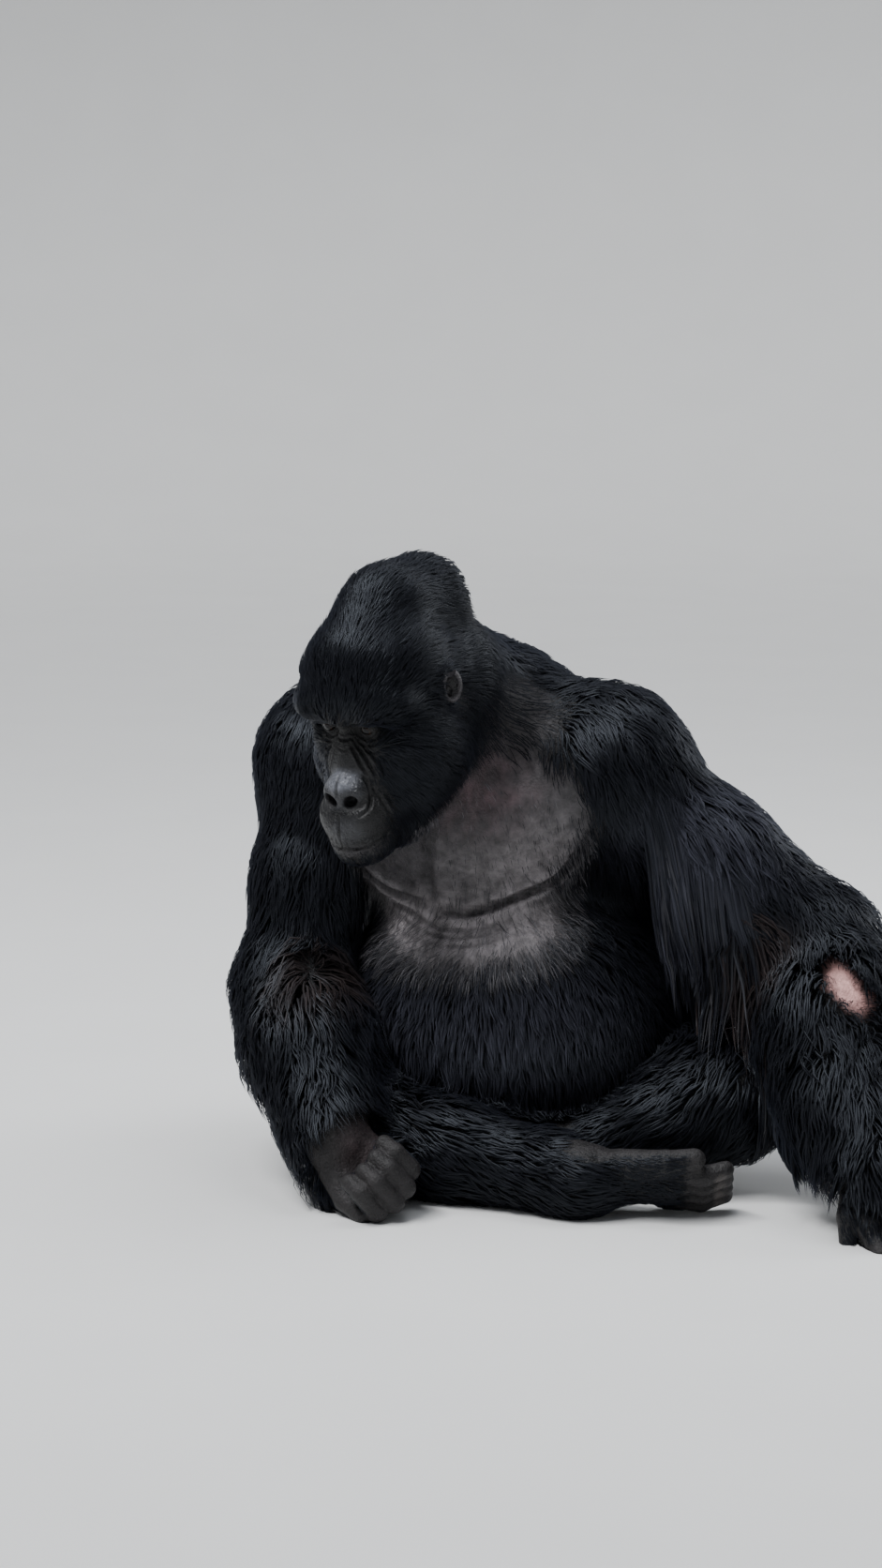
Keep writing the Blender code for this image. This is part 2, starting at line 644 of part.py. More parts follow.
parts = {}
HEAD_CUT = ((-0.045, -0.321, 0.709), turn_z(HEAD_TURN) @ np.array((0.0, -0.97, 0.23)))
NECK_CUT = ((-0.045, -0.190, 0.665), (0.0, -0.60, 0.80))
WAIST_CUT = ((0.0, -0.080, 0.405), (0.0, -0.10, 0.99))
GROIN_CUT = ((0.0, -0.020, 0.140), (0.0, -0.62, 0.78))
rest, parts["head"] = parted(chains["trunk"], *HEAD_CUT, ("rest", "head"), 0.25, 0.26)
rest, parts["neck"] = parted(rest, *NECK_CUT, ("rest", "neck"))
rest, parts["chest"] = parted(rest, *WAIST_CUT, ("rest", "chest"), 0.40, 0.40)
parts["pelvis"], parts["belly"] = parted(rest, *GROIN_CUT, ("pelvis", "belly"), 0.40, 0.50)


def middle_cut(near, joint, far):
    """A joint plane square to the bend of the limb, facing away from the body."""
    return joint, unit(unit(np.array(joint) - near) + unit(np.array(far) - joint))


for side, shoulder, elbow, wrist, hip, knee, ankle, toes in (
        ("r", SHOULDER_R, ELBOW_R, WRIST_R, HIP_R, KNEE_R, ANKLE_R, TOES_R),
        ("l", SHOULDER_L, ELBOW_L, WRIST_L, HIP_L, KNEE_L, ANKLE_L, TOES_L)):
    at_elbow = middle_cut(shoulder, elbow, wrist)
    at_knee = middle_cut(hip, knee, ankle)
    at_ankle = middle_cut(knee, ankle, toes)
    upper, rest = parted(chains["arm_" + side], *at_elbow, ("upper_arm_" + side, "rest"))
    lower, end = parted(rest, wrist, unit(np.array(wrist) - elbow), ("forearm_" + side, "hand_" + side))
    parts.update({piece.name: piece for piece in (upper, lower, end)})
    upper, rest = parted(chains["leg_" + side], *at_knee, ("thigh_" + side, "rest"), 0.5, 0.3)
    lower, end = parted(rest, *at_ankle, ("shin_" + side, "foot_" + side))
    parts.update({piece.name: piece for piece in (upper, lower, end)})

for side in (1, -1):
    shell, room = ear(side)
    cut(parts["head"], room)
    parts[shell.name] = shell
    ball_part, room, slit = eye(side)
    cut(parts["head"], slit)
    cut(parts["head"], room)
    parts[ball_part.name] = ball_part
parts["head"] = tidy(parts["head"])

COAT = (0.020, 0.020, 0.024, 1.0)
BARE = (0.075, 0.068, 0.066, 1.0)
EYE = (0.060, 0.028, 0.012, 1.0)
FINISH = {"hand_r": BARE, "hand_l": BARE, "foot_r": BARE, "foot_l": BARE, "ear_r": BARE, "ear_l": BARE,
          "eye_r": EYE, "eye_l": EYE}
for name, obj in parts.items():
    obj.name = name
    obj.data.name = name
    material = bpy.data.materials.new(name)
    material.use_nodes = True
    surface = material.node_tree.nodes["Principled BSDF"]
    surface.inputs["Base Color"].default_value = FINISH.get(name, COAT)
    surface.inputs["Roughness"].default_value = 0.15 if name.startswith("eye") else 0.6
    obj.data.materials.clear()
    obj.data.materials.append(material)
    obj.data.shade_smooth()
    obj.data.set_sharp_from_angle(angle=radians(50.0))
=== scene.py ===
"""Looks of the seated silverback gorilla.

One skin replaces the solids of flesh and lies under them by the depth of the coat.  The coat over
it is made of solid tapered locks that follow the lie of the hair.  +Z is up, the chest faces -Y and
the animal's left is +X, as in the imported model.  Places and sizes on the body are written in
millimetres; meshes, grids, distances and the hair are in metres.
"""
import bpy
import bmesh
import numpy as np
from dataclasses import dataclass
from math import cos, pi, radians, sin
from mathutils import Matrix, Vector
from mathutils.kdtree import KDTree


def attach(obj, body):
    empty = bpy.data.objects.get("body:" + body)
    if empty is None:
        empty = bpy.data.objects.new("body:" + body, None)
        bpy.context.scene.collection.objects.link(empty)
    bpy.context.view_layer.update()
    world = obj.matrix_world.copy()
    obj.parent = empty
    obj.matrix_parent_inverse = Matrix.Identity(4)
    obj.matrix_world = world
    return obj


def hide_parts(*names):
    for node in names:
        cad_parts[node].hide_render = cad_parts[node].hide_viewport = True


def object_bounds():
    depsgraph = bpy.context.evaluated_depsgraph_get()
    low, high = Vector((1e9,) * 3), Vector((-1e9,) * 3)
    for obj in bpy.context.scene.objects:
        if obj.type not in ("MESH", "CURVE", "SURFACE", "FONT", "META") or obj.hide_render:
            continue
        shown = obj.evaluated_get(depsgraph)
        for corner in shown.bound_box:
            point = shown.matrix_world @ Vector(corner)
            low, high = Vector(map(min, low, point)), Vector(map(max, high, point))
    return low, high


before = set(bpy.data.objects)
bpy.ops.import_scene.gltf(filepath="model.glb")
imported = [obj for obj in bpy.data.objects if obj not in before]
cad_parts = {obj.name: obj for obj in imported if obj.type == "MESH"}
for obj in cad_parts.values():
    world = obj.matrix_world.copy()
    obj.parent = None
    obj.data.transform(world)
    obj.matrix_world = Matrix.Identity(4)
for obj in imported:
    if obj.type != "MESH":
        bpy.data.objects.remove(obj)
cad_low, cad_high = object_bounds()

# ---------------- driving sizes, in metres
STEP = 0.0115            # spacing of the grid that the skin is first wrapped on
MARGIN = 0.03            # from the solids to the edge of that grid
FAR = 0.070              # distances are kept out to here
WEB = 0.085              # how softly a limb flows into the trunk at its root
ROOT_REACH = 0.16        # how far from its root it does so
CREASE = 0.005           # how softly limbs meet where they only touch
FLOOR_CLEAR = 0.0004     # skin and hair are pressed flat this far above the floor
SEED = 7

# places and sizes on the body, in millimetres; the face is measured from the bridge of the nose
BROW = (-67, -478, 691)
HEAD_TURN = -11.0        # degrees
HEAD_BOW = 27.0
EYE_R = 13.5
EYE_X = 34
EYE_Y = 21
EYE_Z = -1
NOSTRIL_X = 17.5
NOSTRIL_Z = -86.5
EAR_OUT = {1: 106, -1: -110}
EAR_BACK = 133
EAR_UP = 2
TOES = (27, 6, -15, -34)     # the four small toes, across the foot


def turn(axis, angle):
    """A turn by some degrees about x, y or z, which are 0, 1 and 2."""
    made = np.eye(3)
    u = (axis + 1) % 3
    v = (axis + 2) % 3
    made[u, u] = made[v, v] = cos(radians(angle))
    made[v, u] = sin(radians(angle))
    made[u, v] = -made[v, u]
    return made


def metres(values):
    return np.array(values, float) / 1000.0


def unit(v):
    v = np.array(v, float)
    return v / np.linalg.norm(v)


class Place:
    """A spot on the body with its own axes."""

    def __init__(self, at=(0, 0, 0), turned=np.eye(3)):
        self.at = metres(at)
        self.turn = turned

    def __call__(self, p):
        return self.at + self.turn @ metres(p)

    def local(self, points):
        return (points - self.at) @ self.turn


class Limb:
    """The three joints of a limb; at its end x runs to the fingertips, y out of the palm, z to the thumb."""

    def __init__(self, root, middle, wrist, along, palm, side):
        self.joints = [np.array(p, float) for p in (root, middle, wrist)]
        along = unit(along)
        palm = unit(np.array(palm) - along * np.dot(along, palm))
        self.end = Place(wrist, np.stack([along, palm, np.cross(along, palm) * side], axis=1))


LIMBS = {
    "arm_r": Limb((-255, -155, 600), (-232, -320, 270), (-66, -497, 90),
                  (0.80, 0.00, -0.60), (0.45, -0.80, 0.40), 1),
    "arm_l": Limb((190, -104, 611), (501, -58, 355), (675, -284, 94),
                  (0.45, -0.42, -0.80), (-0.55, 0.30, -0.45), -1),
    "leg_r": Limb((-115, -30, 135), (-66, -376, 78), (268, -396, 52),
                  (0.95, 0.27, -0.12), (0.00, 0.80, 0.60), 1),
    "leg_l": Limb((125, -10, 135), (410, -165, 128), (195, -285, 52),
                  (-0.94, -0.33, 0.00), (0.00, 0.80, 0.60), -1),
}
CHAINS = ("trunk", *LIMBS)
TRUNK = 0                # its number in CHAINS
BODY = Place()
X, Y, Z = range(3)
HEAD = Place(BROW, turn(Z, HEAD_TURN) @ turn(X, HEAD_BOW))
MUSCLES = []


# ---------------- the flesh
def cone(chain, a, b, ra, rb, blend, coat, place=BODY):
    """A rounded cone of flesh from a to b; coat is the depth of hair over it."""
    ra, rb, blend, coat = metres((ra, rb, blend, coat))
    MUSCLES.append(dict(chain=chain, a=place(a), b=place(b), ra=ra, rb=rb, blend=blend, coat=coat,
                        carve=False))


def ball(chain, at, radii, blend, coat, place=BODY, turned=np.eye(3), carve=False):
    """A rounded mass of flesh with three radii, or a hollow carved out of the flesh before it."""
    blend, coat = metres((blend, coat))
    MUSCLES.append(dict(chain=chain, at=place(at), radii=metres(radii), turn=place.turn @ turned,
                        blend=blend, coat=coat, carve=carve))


def head_cone(a, b, ra, rb, blend, coat=0):
    cone("trunk", a, b, ra, rb, blend, coat, HEAD)


def head_ball(at, radii, blend, coat=0, turned=np.eye(3), carve=False):
    ball("trunk", at, radii, blend, coat, HEAD, turned, carve)


def trunk():
    ball("trunk", (0, 35, 150), (185, 150, 145), 30, 20)
    ball("trunk", (33, -115, 220), (255, 225, 210), 60, 28)
    ball("trunk", (0, -20, 340), (215, 160, 210), 60, 20)
    ball("trunk", (-35, -105, 505), (210, 175, 170), 60, 6)
    ball("trunk", (-40, -35, 575), (190, 130, 150), 60, 20)
    for side, arm_chain in ((1, "arm_l"), (-1, "arm_r")):
        s = LIMBS[arm_chain].joints[0]
        cone("trunk", (-40, -60, 640), s + (-15 * side, 15, 0), 98, 72, 60, 20)
        cone("trunk", (-35 + 45 * side, -125, 650), s + (-40 * side, -15, 4), 82, 70, 60, 20)
        cone("trunk", (-35, -215, 530), s + (-20 * side, -20, -60), 75, 75, 50, 3)
        cone("trunk", s + (0, 20, -40), (120 * side, 20, 330), 80, 90, 60, 18)
    cone("trunk", (-50, -65, 622), (-40, -280, 740), 122, 105, 60, 22)
    cone("trunk", (-50, -170, 580), (-45, -330, 620), 110, 85, 50, 6)


def head():
    head_ball((0, 106, 22), (78, 96, 74), 40, 18)
    head_cone((0, 88, 54), (0, 168, 106), 37, 42, 40, 18)
    head_cone((0, 168, 106), (0, 238, 72), 42, 60, 40, 18)
    head_ball((0, 56, 56), (66, 38, 42), 50, 11)
    head_cone((0, 60, 58), (0, 130, 95), 36, 37, 50, 14)
    for side in (1, -1):
        head_ball((46 * side, 108, 34), (42, 68, 60), 30, 18)
        head_ball((58 * side, 78, -80), (42, 60, 74), 40, 18)
        head_ball((50 * side, 34, -34), (26, 26, 22), 16, 2)
        brow(side)
    head_cone((0, 45, -148), (0, 45, -150), 60, 60, 40, 10)
    muzzle()
    for side in (1, -1):
        eye_socket(side)
        nostril(side)
        ear(side)


def brow(side):
    arch = (44 * side, 13, 35)
    outer = (73 * side, 34, 25)
    head_cone((2 * side, 7, 34), arch, 18, 19, 22, 4)
    head_cone(arch, outer, 19, 17, 18, 6)
    head_cone(outer, (79 * side, 58, 0), 17, 14, 18, 8)


def muzzle():
    head_ball((0, -20, -140), (52, 56, 52), 25)
    head_ball((0, -28, -172), (43, 46, 28), 18, 2)
    for side in (1, -1):
        head_cone((34 * side, 30, -40), (30 * side, 8, -110), 24, 30, 20, 1)
        head_cone((12 * side, 26, -16), (18 * side, 0, -66), 15, 22, 15)
        head_cone((0, -65, -163), (30 * side, -46, -160), 11.5, 10, 8)
        head_ball((26 * side, -30, -118), (26, 32, 26), 20)
    head_cone((0, 27, 4), (0, -3, -52), 18, 23, 15)
    head_ball((0, -30, -75), (28, 23, 23), 10)
    for side in (1, -1):
        head_ball((20 * side, -29, -84), (18, 22.5, 21.5), 6)
    head_cone((0, -40, -82), (0, -47, -108), 8, 11, 12)


def eye_socket(side):
    """A deep socket with lids over the eyeball and a narrow opening between them."""
    head_ball((EYE_X * side, EYE_Y - 18, EYE_Z + 1), (22, 16, 13), 10, carve=True)
    head_ball((EYE_X * side, EYE_Y, EYE_Z), (EYE_R + 2.2,) * 3, 4)
    head_ball((EYE_X * side, EYE_Y - 16, EYE_Z - 0.6), (13.8, 11.5, 5.4), 1.5, carve=True)


def nostril(side):
    flare = turn(Y, -32 * side) @ turn(Z, 25 * side)
    head_ball((NOSTRIL_X * side, -49, NOSTRIL_Z), (12, 18, 8), 4, turned=flare, carve=True)


def ear_turn(side):
    return turn(Z, -25 * side) @ turn(X, -12)


def ear(side):
    """A small round ear with a rolled rim, a hollow and a deeper pit at its root."""
    at = np.array((EAR_OUT[side], EAR_BACK, EAR_UP))
    slant = ear_turn(side)
    head_ball(at + (-16 * side, -8, 0), (20, 16, 22), 12)
    head_ball(at, (10, 17.5, 26.5), 5, turned=slant)
    head_ball(at + slant @ (10 * side, -1.5, 1.5), (11, 11.8, 19.8), 2.5, turned=slant, carve=True)
    head_ball(at + slant @ (7 * side, -5, -6), (15, 5.5, 8), 2.5, turned=slant, carve=True)


def arm(chain):
    shoulder, elbow, wrist = LIMBS[chain].joints
    biceps = (shoulder + elbow) / 2
    belly = elbow + (wrist - elbow) * 0.35
    ball(chain, shoulder, (88, 92, 94), 50, 22)
    cone(chain, shoulder, biceps, 76, 67, 50, 20)
    cone(chain, biceps, elbow, 67, 66, 50, 26)
    cone(chain, elbow, belly, 66, 70, 40, 38)
    cone(chain, belly, wrist, 70, 48, 40, 40)


def hand(chain, bends):
    """Palm, four fingers and a thumb; bends are the turns at the three joints of a finger."""
    place = LIMBS[chain].end
    for offset, stretch in ((38, 0.96), (13, 1.03), (-13, 1.00), (-37, 0.88)):
        start = np.array((96 * stretch, 0, offset))
        cone(chain, (10, 0, offset / 2), start, 24, 21, 14, 3, place)
        angle = 0.0
        for bend, length, radius in zip(bends, (56, 40, 24), (16.5, 15, 13)):
            angle = angle + radians(bend)
            tip = start + np.array((cos(angle), sin(angle), 0)) * length * stretch
            cone(chain, start, tip, radius + 1, radius, 4, 0, place)
            start = tip
    bend = (30, 6, 34) + unit((1, 0.35, 0.55)) * 46
    cone(chain, (30, 6, 34), bend, 25, 16, 12, 0, place)
    cone(chain, bend, bend + unit((1, 0.40, 0.05)) * 42, 15.5, 12.5, 4, 0, place)


def fringes():
    """Long hair that hangs from the left arm, and the thin-haired place inside its forearm.

    The first cone has no flesh: its radii are under nought, and only its coat shows.
    """
    shoulder, elbow, wrist = LIMBS["arm_l"].joints
    start = shoulder * 0.66 + elbow * 0.34 + (0, -10, -90)
    cone("arm_l", start, shoulder * 0.26 + elbow * 0.74 + (0, -15, -130), -50, -50, 50, 140)
    inner = np.array((-40, -20, -4))
    start = elbow * 0.92 + wrist * 0.08 + inner
    cone("arm_l", start, elbow * 0.30 + wrist * 0.70 + inner * 0.9, 26, 26, 50, 66)
    ball("arm_l", (575, -126, 314), (46, 46, 50), 30, 6)
    cone("leg_l", (280, -95, 145), (395, -150, 150), 55, 50, 50, 34)


def leg(chain):
    hip, knee, ankle = LIMBS[chain].joints
    calf = knee + (ankle - knee) * 0.35
    cone(chain, hip, knee, 106, 62, 50, 24)
    cone(chain, knee, calf, 60, 58, 40, 20)
    cone(chain, calf, ankle, 58, 38, 40, 18)


def foot(chain):
    """Heel, sole, four toes and the big toe, which stands apart like a thumb."""
    place = LIMBS[chain].end
    cone(chain, (0, 0, 0), (-45, 20, 0), 44, 36, 30, 4, place)
    cone(chain, (0, 12, 0), (130, 22, 0), 40, 29, 30, 4, place)
    for offset in TOES:
        knuckle = np.array((176, 22, offset))
        cone(chain, (122, 22, offset), knuckle, 18.5, 15, 10, 1, place)
        cone(chain, knuckle, knuckle + unit((1, 0.6, 0)) * 36, 14.8, 12.8, 4, 0, place)
    bend = (60, 14, 30) + unit((1, 0, 0.40)) * 66
    cone(chain, (60, 14, 30), bend, 26, 19.5, 15, 1, place)
    cone(chain, bend, bend + unit((1, 0.3, 0.10)) * 44, 19, 16, 4, 0, place)


trunk()
head()
arm("arm_r")
hand("arm_r", (62, 78, 50))
arm("arm_l")
fringes()
hand("arm_l", (-8, 98, 40))
for chain in ("leg_r", "leg_l"):
    leg(chain)
    foot(chain)


# ---------------- distances to the flesh
def cone_distance(p, m, grow):
    axis = m["b"] - m["a"]
    rel = [p[i] - m["a"][i] for i in range(3)]
    t = np.clip(sum(rel[i] * axis[i] for i in range(3)) / float(axis @ axis), 0.0, 1.0)
    away = np.sqrt(sum((rel[i] - t * axis[i]) ** 2 for i in range(3)))
    return away - (m["ra"] + grow + (m["rb"] - m["ra"]) * t)


def ball_distance(p, m, grow):
    radii = m["radii"] + grow
    rel = [p[i] - m["at"][i] for i in range(3)]
    turned = [sum(rel[i] * m["turn"][i, j] for i in range(3)) for j in range(3)]
    scaled = np.sqrt(sum((turned[j] / radii[j]) ** 2 for j in range(3)))
    slope = np.sqrt(sum((turned[j] / radii[j] ** 2) ** 2 for j in range(3)))
    return scaled * (scaled - 1.0) / np.maximum(slope, 1e-6)


def reach_of(m):
    """The box that a muscle with its coat just fits in."""
    if "at" in m:
        span = np.sqrt(((m["turn"] * (m["radii"] + m["coat"])) ** 2).sum(axis=1))
        return m["at"] - span, m["at"] + span
    r = max(m["ra"], m["rb"]) + m["coat"]
    return np.minimum(m["a"], m["b"]) - r, np.maximum(m["a"], m["b"]) + r


def soft_min(a, b, blend):
    h = np.clip(0.5 + 0.5 * (a - b) / blend, 0.0, 1.0)
    return a + (b - a) * h - blend * h * (1.0 - h)


class Grid:
    """Evenly spaced places in a box."""

    def __init__(self, low, high, step):
        self.low = low
        self.step = step
        self.size = np.ceil((high - low) / step).astype(int) + 1
        self.shape = tuple(self.size)
        self.axes = [low[i] + step * np.arange(self.size[i]) for i in range(3)]

    def pick(self, low, high):
        first = np.floor((low - self.low) / self.step).astype(int).clip(0)
        last = np.minimum(np.ceil((high - self.low) / self.step).astype(int) + 1, self.size)
        window = tuple(slice(first[i], max(first[i], last[i])) for i in range(3))
        return window, self.places(window)

    def places(self, window=(slice(None),) * 3):
        x, y, z = (self.axes[i][window[i]] for i in range(3))
        return x[:, None, None], y[None, :, None], z[None, None, :]


class Cloud:
    """Any places, as rows of a table."""

    def __init__(self, points):
        self.points = points
        self.shape = (len(points),)

    def pick(self, low, high):
        rows = np.flatnonzero(((self.points > low) & (self.points < high)).all(axis=1))
        return rows, tuple(self.points[rows].T)

    def places(self):
        return tuple(self.points.T)


def chain_distance(where, chain, coat):
    values = np.full(where.shape, FAR, np.float32)
    for m in MUSCLES:
        if m["chain"] != chain:
            continue
        low, high = reach_of(m)
        pad = m["blend"] + FAR
        chosen, p = where.pick(low - pad, high + pad)
        measure = ball_distance if "at" in m else cone_distance
        d = measure(p, m, m["coat"] * coat)
        if m["carve"]:
            values[chosen] = -soft_min(-values[chosen], d, m["blend"])
        else:
            values[chosen] = soft_min(values[chosen], d, m["blend"])
    return values


def body_distance(where, coat=0.0):
    """Distance to the skin, or with coat 1 to the tips of the hair."""
    total = chain_distance(where, "trunk", coat)
    x, y, z = where.places()
    for chain, limb in LIMBS.items():
        root = metres(limb.joints[0])
        away = (x - root[0]) ** 2 + (y - root[1]) ** 2 + (z - root[2]) ** 2
        blend = CREASE + (WEB - CREASE) * np.exp(-away / ROOT_REACH ** 2)
        total = soft_min(total, chain_distance(where, chain, coat), blend)
    return total


def rows_over(values):
    """Their lengths, never nought, as a column to divide by."""
    return np.maximum(np.linalg.norm(values, axis=-1, keepdims=True), 1e-9)


class Sampler:
    """Smoothly reads values kept on a grid."""

    def __init__(self, grid, values):
        self.grid = grid
        self.values = values

    def __call__(self, points):
        place = (points - self.grid.low) / self.grid.step
        cell = np.clip(np.floor(place).astype(int), 0, self.grid.size - 2)
        part = np.clip(place - cell, 0.0, 1.0)
        total = 0.0
        for corner in CORNERS:
            share = 1.0
            for axis, end in enumerate(corner):
                share = share * (part[:, axis] if end else 1.0 - part[:, axis])
            total = total + share * self.values[tuple((cell + corner).T)]
        return total

    def outward(self, points):
        """Unit direction away from the body."""
        steps = np.eye(3) * self.grid.step * 0.75
        slope = np.stack([self(points + step) - self(points - step) for step in steps], axis=1)
        return slope / rows_over(slope)


# ---------------- wrapping the skin
CORNERS = [(i, j, k) for i in (0, 1) for j in (0, 1) for k in (0, 1)]
EDGES = [(c, axis) for c in CORNERS for axis in range(3) if c[axis] == 0]
DIAGONALS = (((0, 0, 0), (1, 1, 1)), ((1, 0, 0), (0, 1, 1)), ((0, 1, 0), (1, 0, 1)), ((0, 0, 1), (1, 1, 0)))
INSIDE = np.float32(-1e-5)      # a level just inside the surface


def corner_of(values, corner):
    """A view of one corner of every cell of a grid; an axis whose corner is None is left whole."""
    cut = [slice(None) if c is None else slice(c, n - 1 + c) for c, n in zip(corner, values.shape)]
    return values[tuple(cut)]


def settled(values):
    """Fill the corners that would pinch the surface to a shared edge or point."""
    values = values.copy()
    before = None
    while before is None or (before != values).any():
        before = values.copy()
        for whole in (2, 1, 0):
            square = [(0, 0), (1, 1), (0, 1), (1, 0)]
            views = [corner_of(values, pair[:whole] + (None,) + pair[whole:]) for pair in square]
            a, b, c, d = (view < 0.0 for view in views)
            pinched = (a & b & ~c & ~d) | (~a & ~b & c & d)
            for view in views:
                view[pinched & (view >= 0.0)] = INSIDE
        for near_end, far_end in DIAGONALS:
            p = corner_of(values, near_end)
            q = corner_of(values, far_end)
            corners = [corner_of(values, c) for c in CORNERS]
            count = sum((c < 0.0).astype(np.uint8) for c in corners)
            lonely = (count == 2) & (p < 0.0) & (q < 0.0)
            lonely |= (count == 6) & (p >= 0.0) & (q >= 0.0)
            for c in corners:
                c[lonely & (c >= 0.0)] = INSIDE
    return values


def wrap(grid, values):
    """Quads around the places where the distance changes sign, one corner point in each grid cell."""
    values = settled(values)
    inside = values < 0.0
    count = sum(corner_of(inside, c).astype(np.uint8) for c in CORNERS)
    active = (count > 0) & (count < 8)
    cells = np.argwhere(active)
    number = np.full(active.shape, -1, np.int64)
    number[active] = np.arange(len(cells))
    level = {c: corner_of(values, c)[active] for c in CORNERS}
    place = np.zeros((len(cells), 3))
    weight = np.zeros((len(cells), 1))
    for c, axis in EDGES:
        other = c[:axis] + (1,) + c[axis + 1:]
        crossed = (level[c] < 0.0) != (level[other] < 0.0)
        start = level[c][crossed]
        place[crossed] += c
        place[crossed, axis] += np.clip(start / (start - level[other][crossed]), 0.0, 1.0)
        weight[crossed] += 1.0
    place = (cells + place / weight) * grid.step + grid.low
    quads = []
    step = np.eye(3, dtype=int)
    for axis in range(3):
        u = (axis + 1) % 3
        v = (axis + 2) % 3
        first, second = (corner_of(inside, [end if a == axis else None for a in range(3)]) for end in (0, 1))
        edges = np.argwhere(first != second)
        for side in (u, v):
            edges = edges[(edges[:, side] > 0) & (edges[:, side] < inside.shape[side] - 1)]
        four_cells = (step[u] + step[v], step[v], 0, step[u])
        ring = np.stack([number[tuple((edges - back).T)] for back in four_cells], axis=1)
        outward = first[tuple(edges.T)]
        ring[~outward] = ring[~outward][:, ::-1]
        quads.append(ring[(ring >= 0).all(axis=1)])
    return place, np.concatenate(quads)


def read(items, what, width, kind=np.float32):
    """The rows of a mesh's points, edges or triangles."""
    rows = np.empty(len(items) * width, kind)
    items.foreach_get(what, rows)
    return rows.reshape(-1, width)


def coordinates(mesh):
    return read(mesh.vertices, "co", 3).astype(float)


def point_normals(mesh):
    return read(mesh.vertices, "normal", 3).astype(float)


def place_points(mesh, points):
    mesh.vertices.foreach_set("co", points.astype(np.float32).ravel())
    mesh.update()


def mesh_of(name, points, faces):
    mesh = bpy.data.meshes.new(name)
    mesh.from_pydata(points.tolist(), [], faces.tolist())
    return mesh


def in_scene(name, data):
    made = bpy.data.objects.new(name, data)
    bpy.context.scene.collection.objects.link(made)
    return made


def slope_at(points, reach=0.0006):
    """Distance to the skin and its unit slope, worked out from the muscles themselves."""
    here = body_distance(Cloud(points))
    ahead = np.stack([body_distance(Cloud(points + step)) for step in np.eye(3) * reach], axis=1)
    slope = (ahead - here[:, None]) / reach
    size = np.maximum(np.linalg.norm(slope, axis=1), 0.2)
    return here / size, slope / size[:, None]


def seated(points, edges, moving, rounds=4, furthest=0.004):
    """Slide the moving points evenly over the skin and drop them on to it."""
    rows = np.flatnonzero(moving)
    starts = np.concatenate([edges[:, 0], edges[:, 1]])
    ends = np.concatenate([edges[:, 1], edges[:, 0]])
    degree = np.bincount(starts, minlength=len(points))[:, None].clip(1)
    for _ in range(rounds):
        away, outward = slope_at(points[rows])
        middle = np.stack([np.bincount(starts, points[ends, i], len(points)) for i in range(3)], axis=1)
        drift = (middle / degree)[rows] - points[rows]
        drift -= outward * (drift * outward).sum(axis=1)[:, None]
        drop = outward * np.clip(away, -furthest, furthest)[:, None]
        points[rows] += 0.5 * drift - drop
    return points


def refined(mesh, wanted):
    """Split the faces whose centres are wanted into four."""
    bm = bmesh.new()
    bm.from_mesh(mesh)
    bm.faces.ensure_lookup_table()
    centres = np.array([f.calc_center_median()[:] for f in bm.faces])
    edges = {e for i in np.flatnonzero(wanted(centres)) for e in bm.faces[i].edges}
    bmesh.ops.subdivide_edges(bm, edges=list(edges), cuts=1, use_grid_fill=True)
    bm.to_mesh(mesh)
    bm.free()


def off_centre(points, place, at, radii):
    """How far points are from the middle of a ball with three radii, 1 at its edge."""
    return np.sqrt((((place.local(points) - metres(at)) / metres(radii)) ** 2).sum(axis=1))


def near(place, at, radii):
    """A test for points in a ball with three radii."""
    return lambda points: off_centre(points, place, at, radii) < 1.0


def any_of(*tests):
    return lambda points: np.any([test(points) for test in tests], axis=0)


FACE = near(HEAD, (0, -10, -75), (90, 80, 140))
FEATURES = near(HEAD, (0, -20, -80), (62, 75, 100))
CHEST = near(BODY, (-35, -290, 560), (230, 160, 150))
PECS = near(BODY, (30, -270, 435), (215, 110, 85))
EARS = any_of(*(near(HEAD, (EAR_OUT[side], EAR_BACK, EAR_UP), (30, 32, 40)) for side in (1, -1)))
HANDS = any_of(near(BODY, LIMBS["arm_r"].joints[2] + (45, -30, -45), (100, 100, 100)),
               near(BODY, LIMBS["arm_l"].joints[2] + (30, -30, -60), (100, 100, 100)))
FEET = any_of(near(BODY, LIMBS["leg_r"].joints[2] + (100, 30, 0), (170, 110, 110)),
              near(BODY, LIMBS["leg_l"].joints[2] + (-100, -30, 0), (170, 110, 110)))

grid = Grid(np.array(cad_low) - MARGIN, np.array(cad_high) + MARGIN, STEP)
skin_values = body_distance(grid)
wrapped, quads = wrap(grid, skin_values)
skin_mesh = mesh_of("skin", wrapped, quads)
for parts in ((FACE, CHEST, EARS, HANDS, FEET), (FACE, HANDS, PECS, EARS), (FEATURES, EARS)):
    chosen = any_of(*parts)
    refined(skin_mesh, chosen)
    co = coordinates(skin_mesh)
    place_points(skin_mesh, seated(co, read(skin_mesh.edges, "vertices", 2, np.int32), chosen(co)))
skin = in_scene("skin", skin_mesh)
skin_mesh.shade_smooth()


# ---------------- folds of the skin
FOLDS = []


def fold(place, line, width, depth, rim=0.35, mirrored=False, shade=1.0):
    """A crease along a line, with a low rim beside it; mirrored folds come on both sides. Shade is how dark
    its crease is painted, as painted shade; its rim is painted lighter, as painted highlight.
    """
    width, depth = metres((width, depth))
    for side in ((1, -1) if mirrored else (1,)):
        points = place.at + (metres(line) * (side, 1, 1)) @ place.turn.T
        FOLDS.append((points, width, depth, rim, shade))


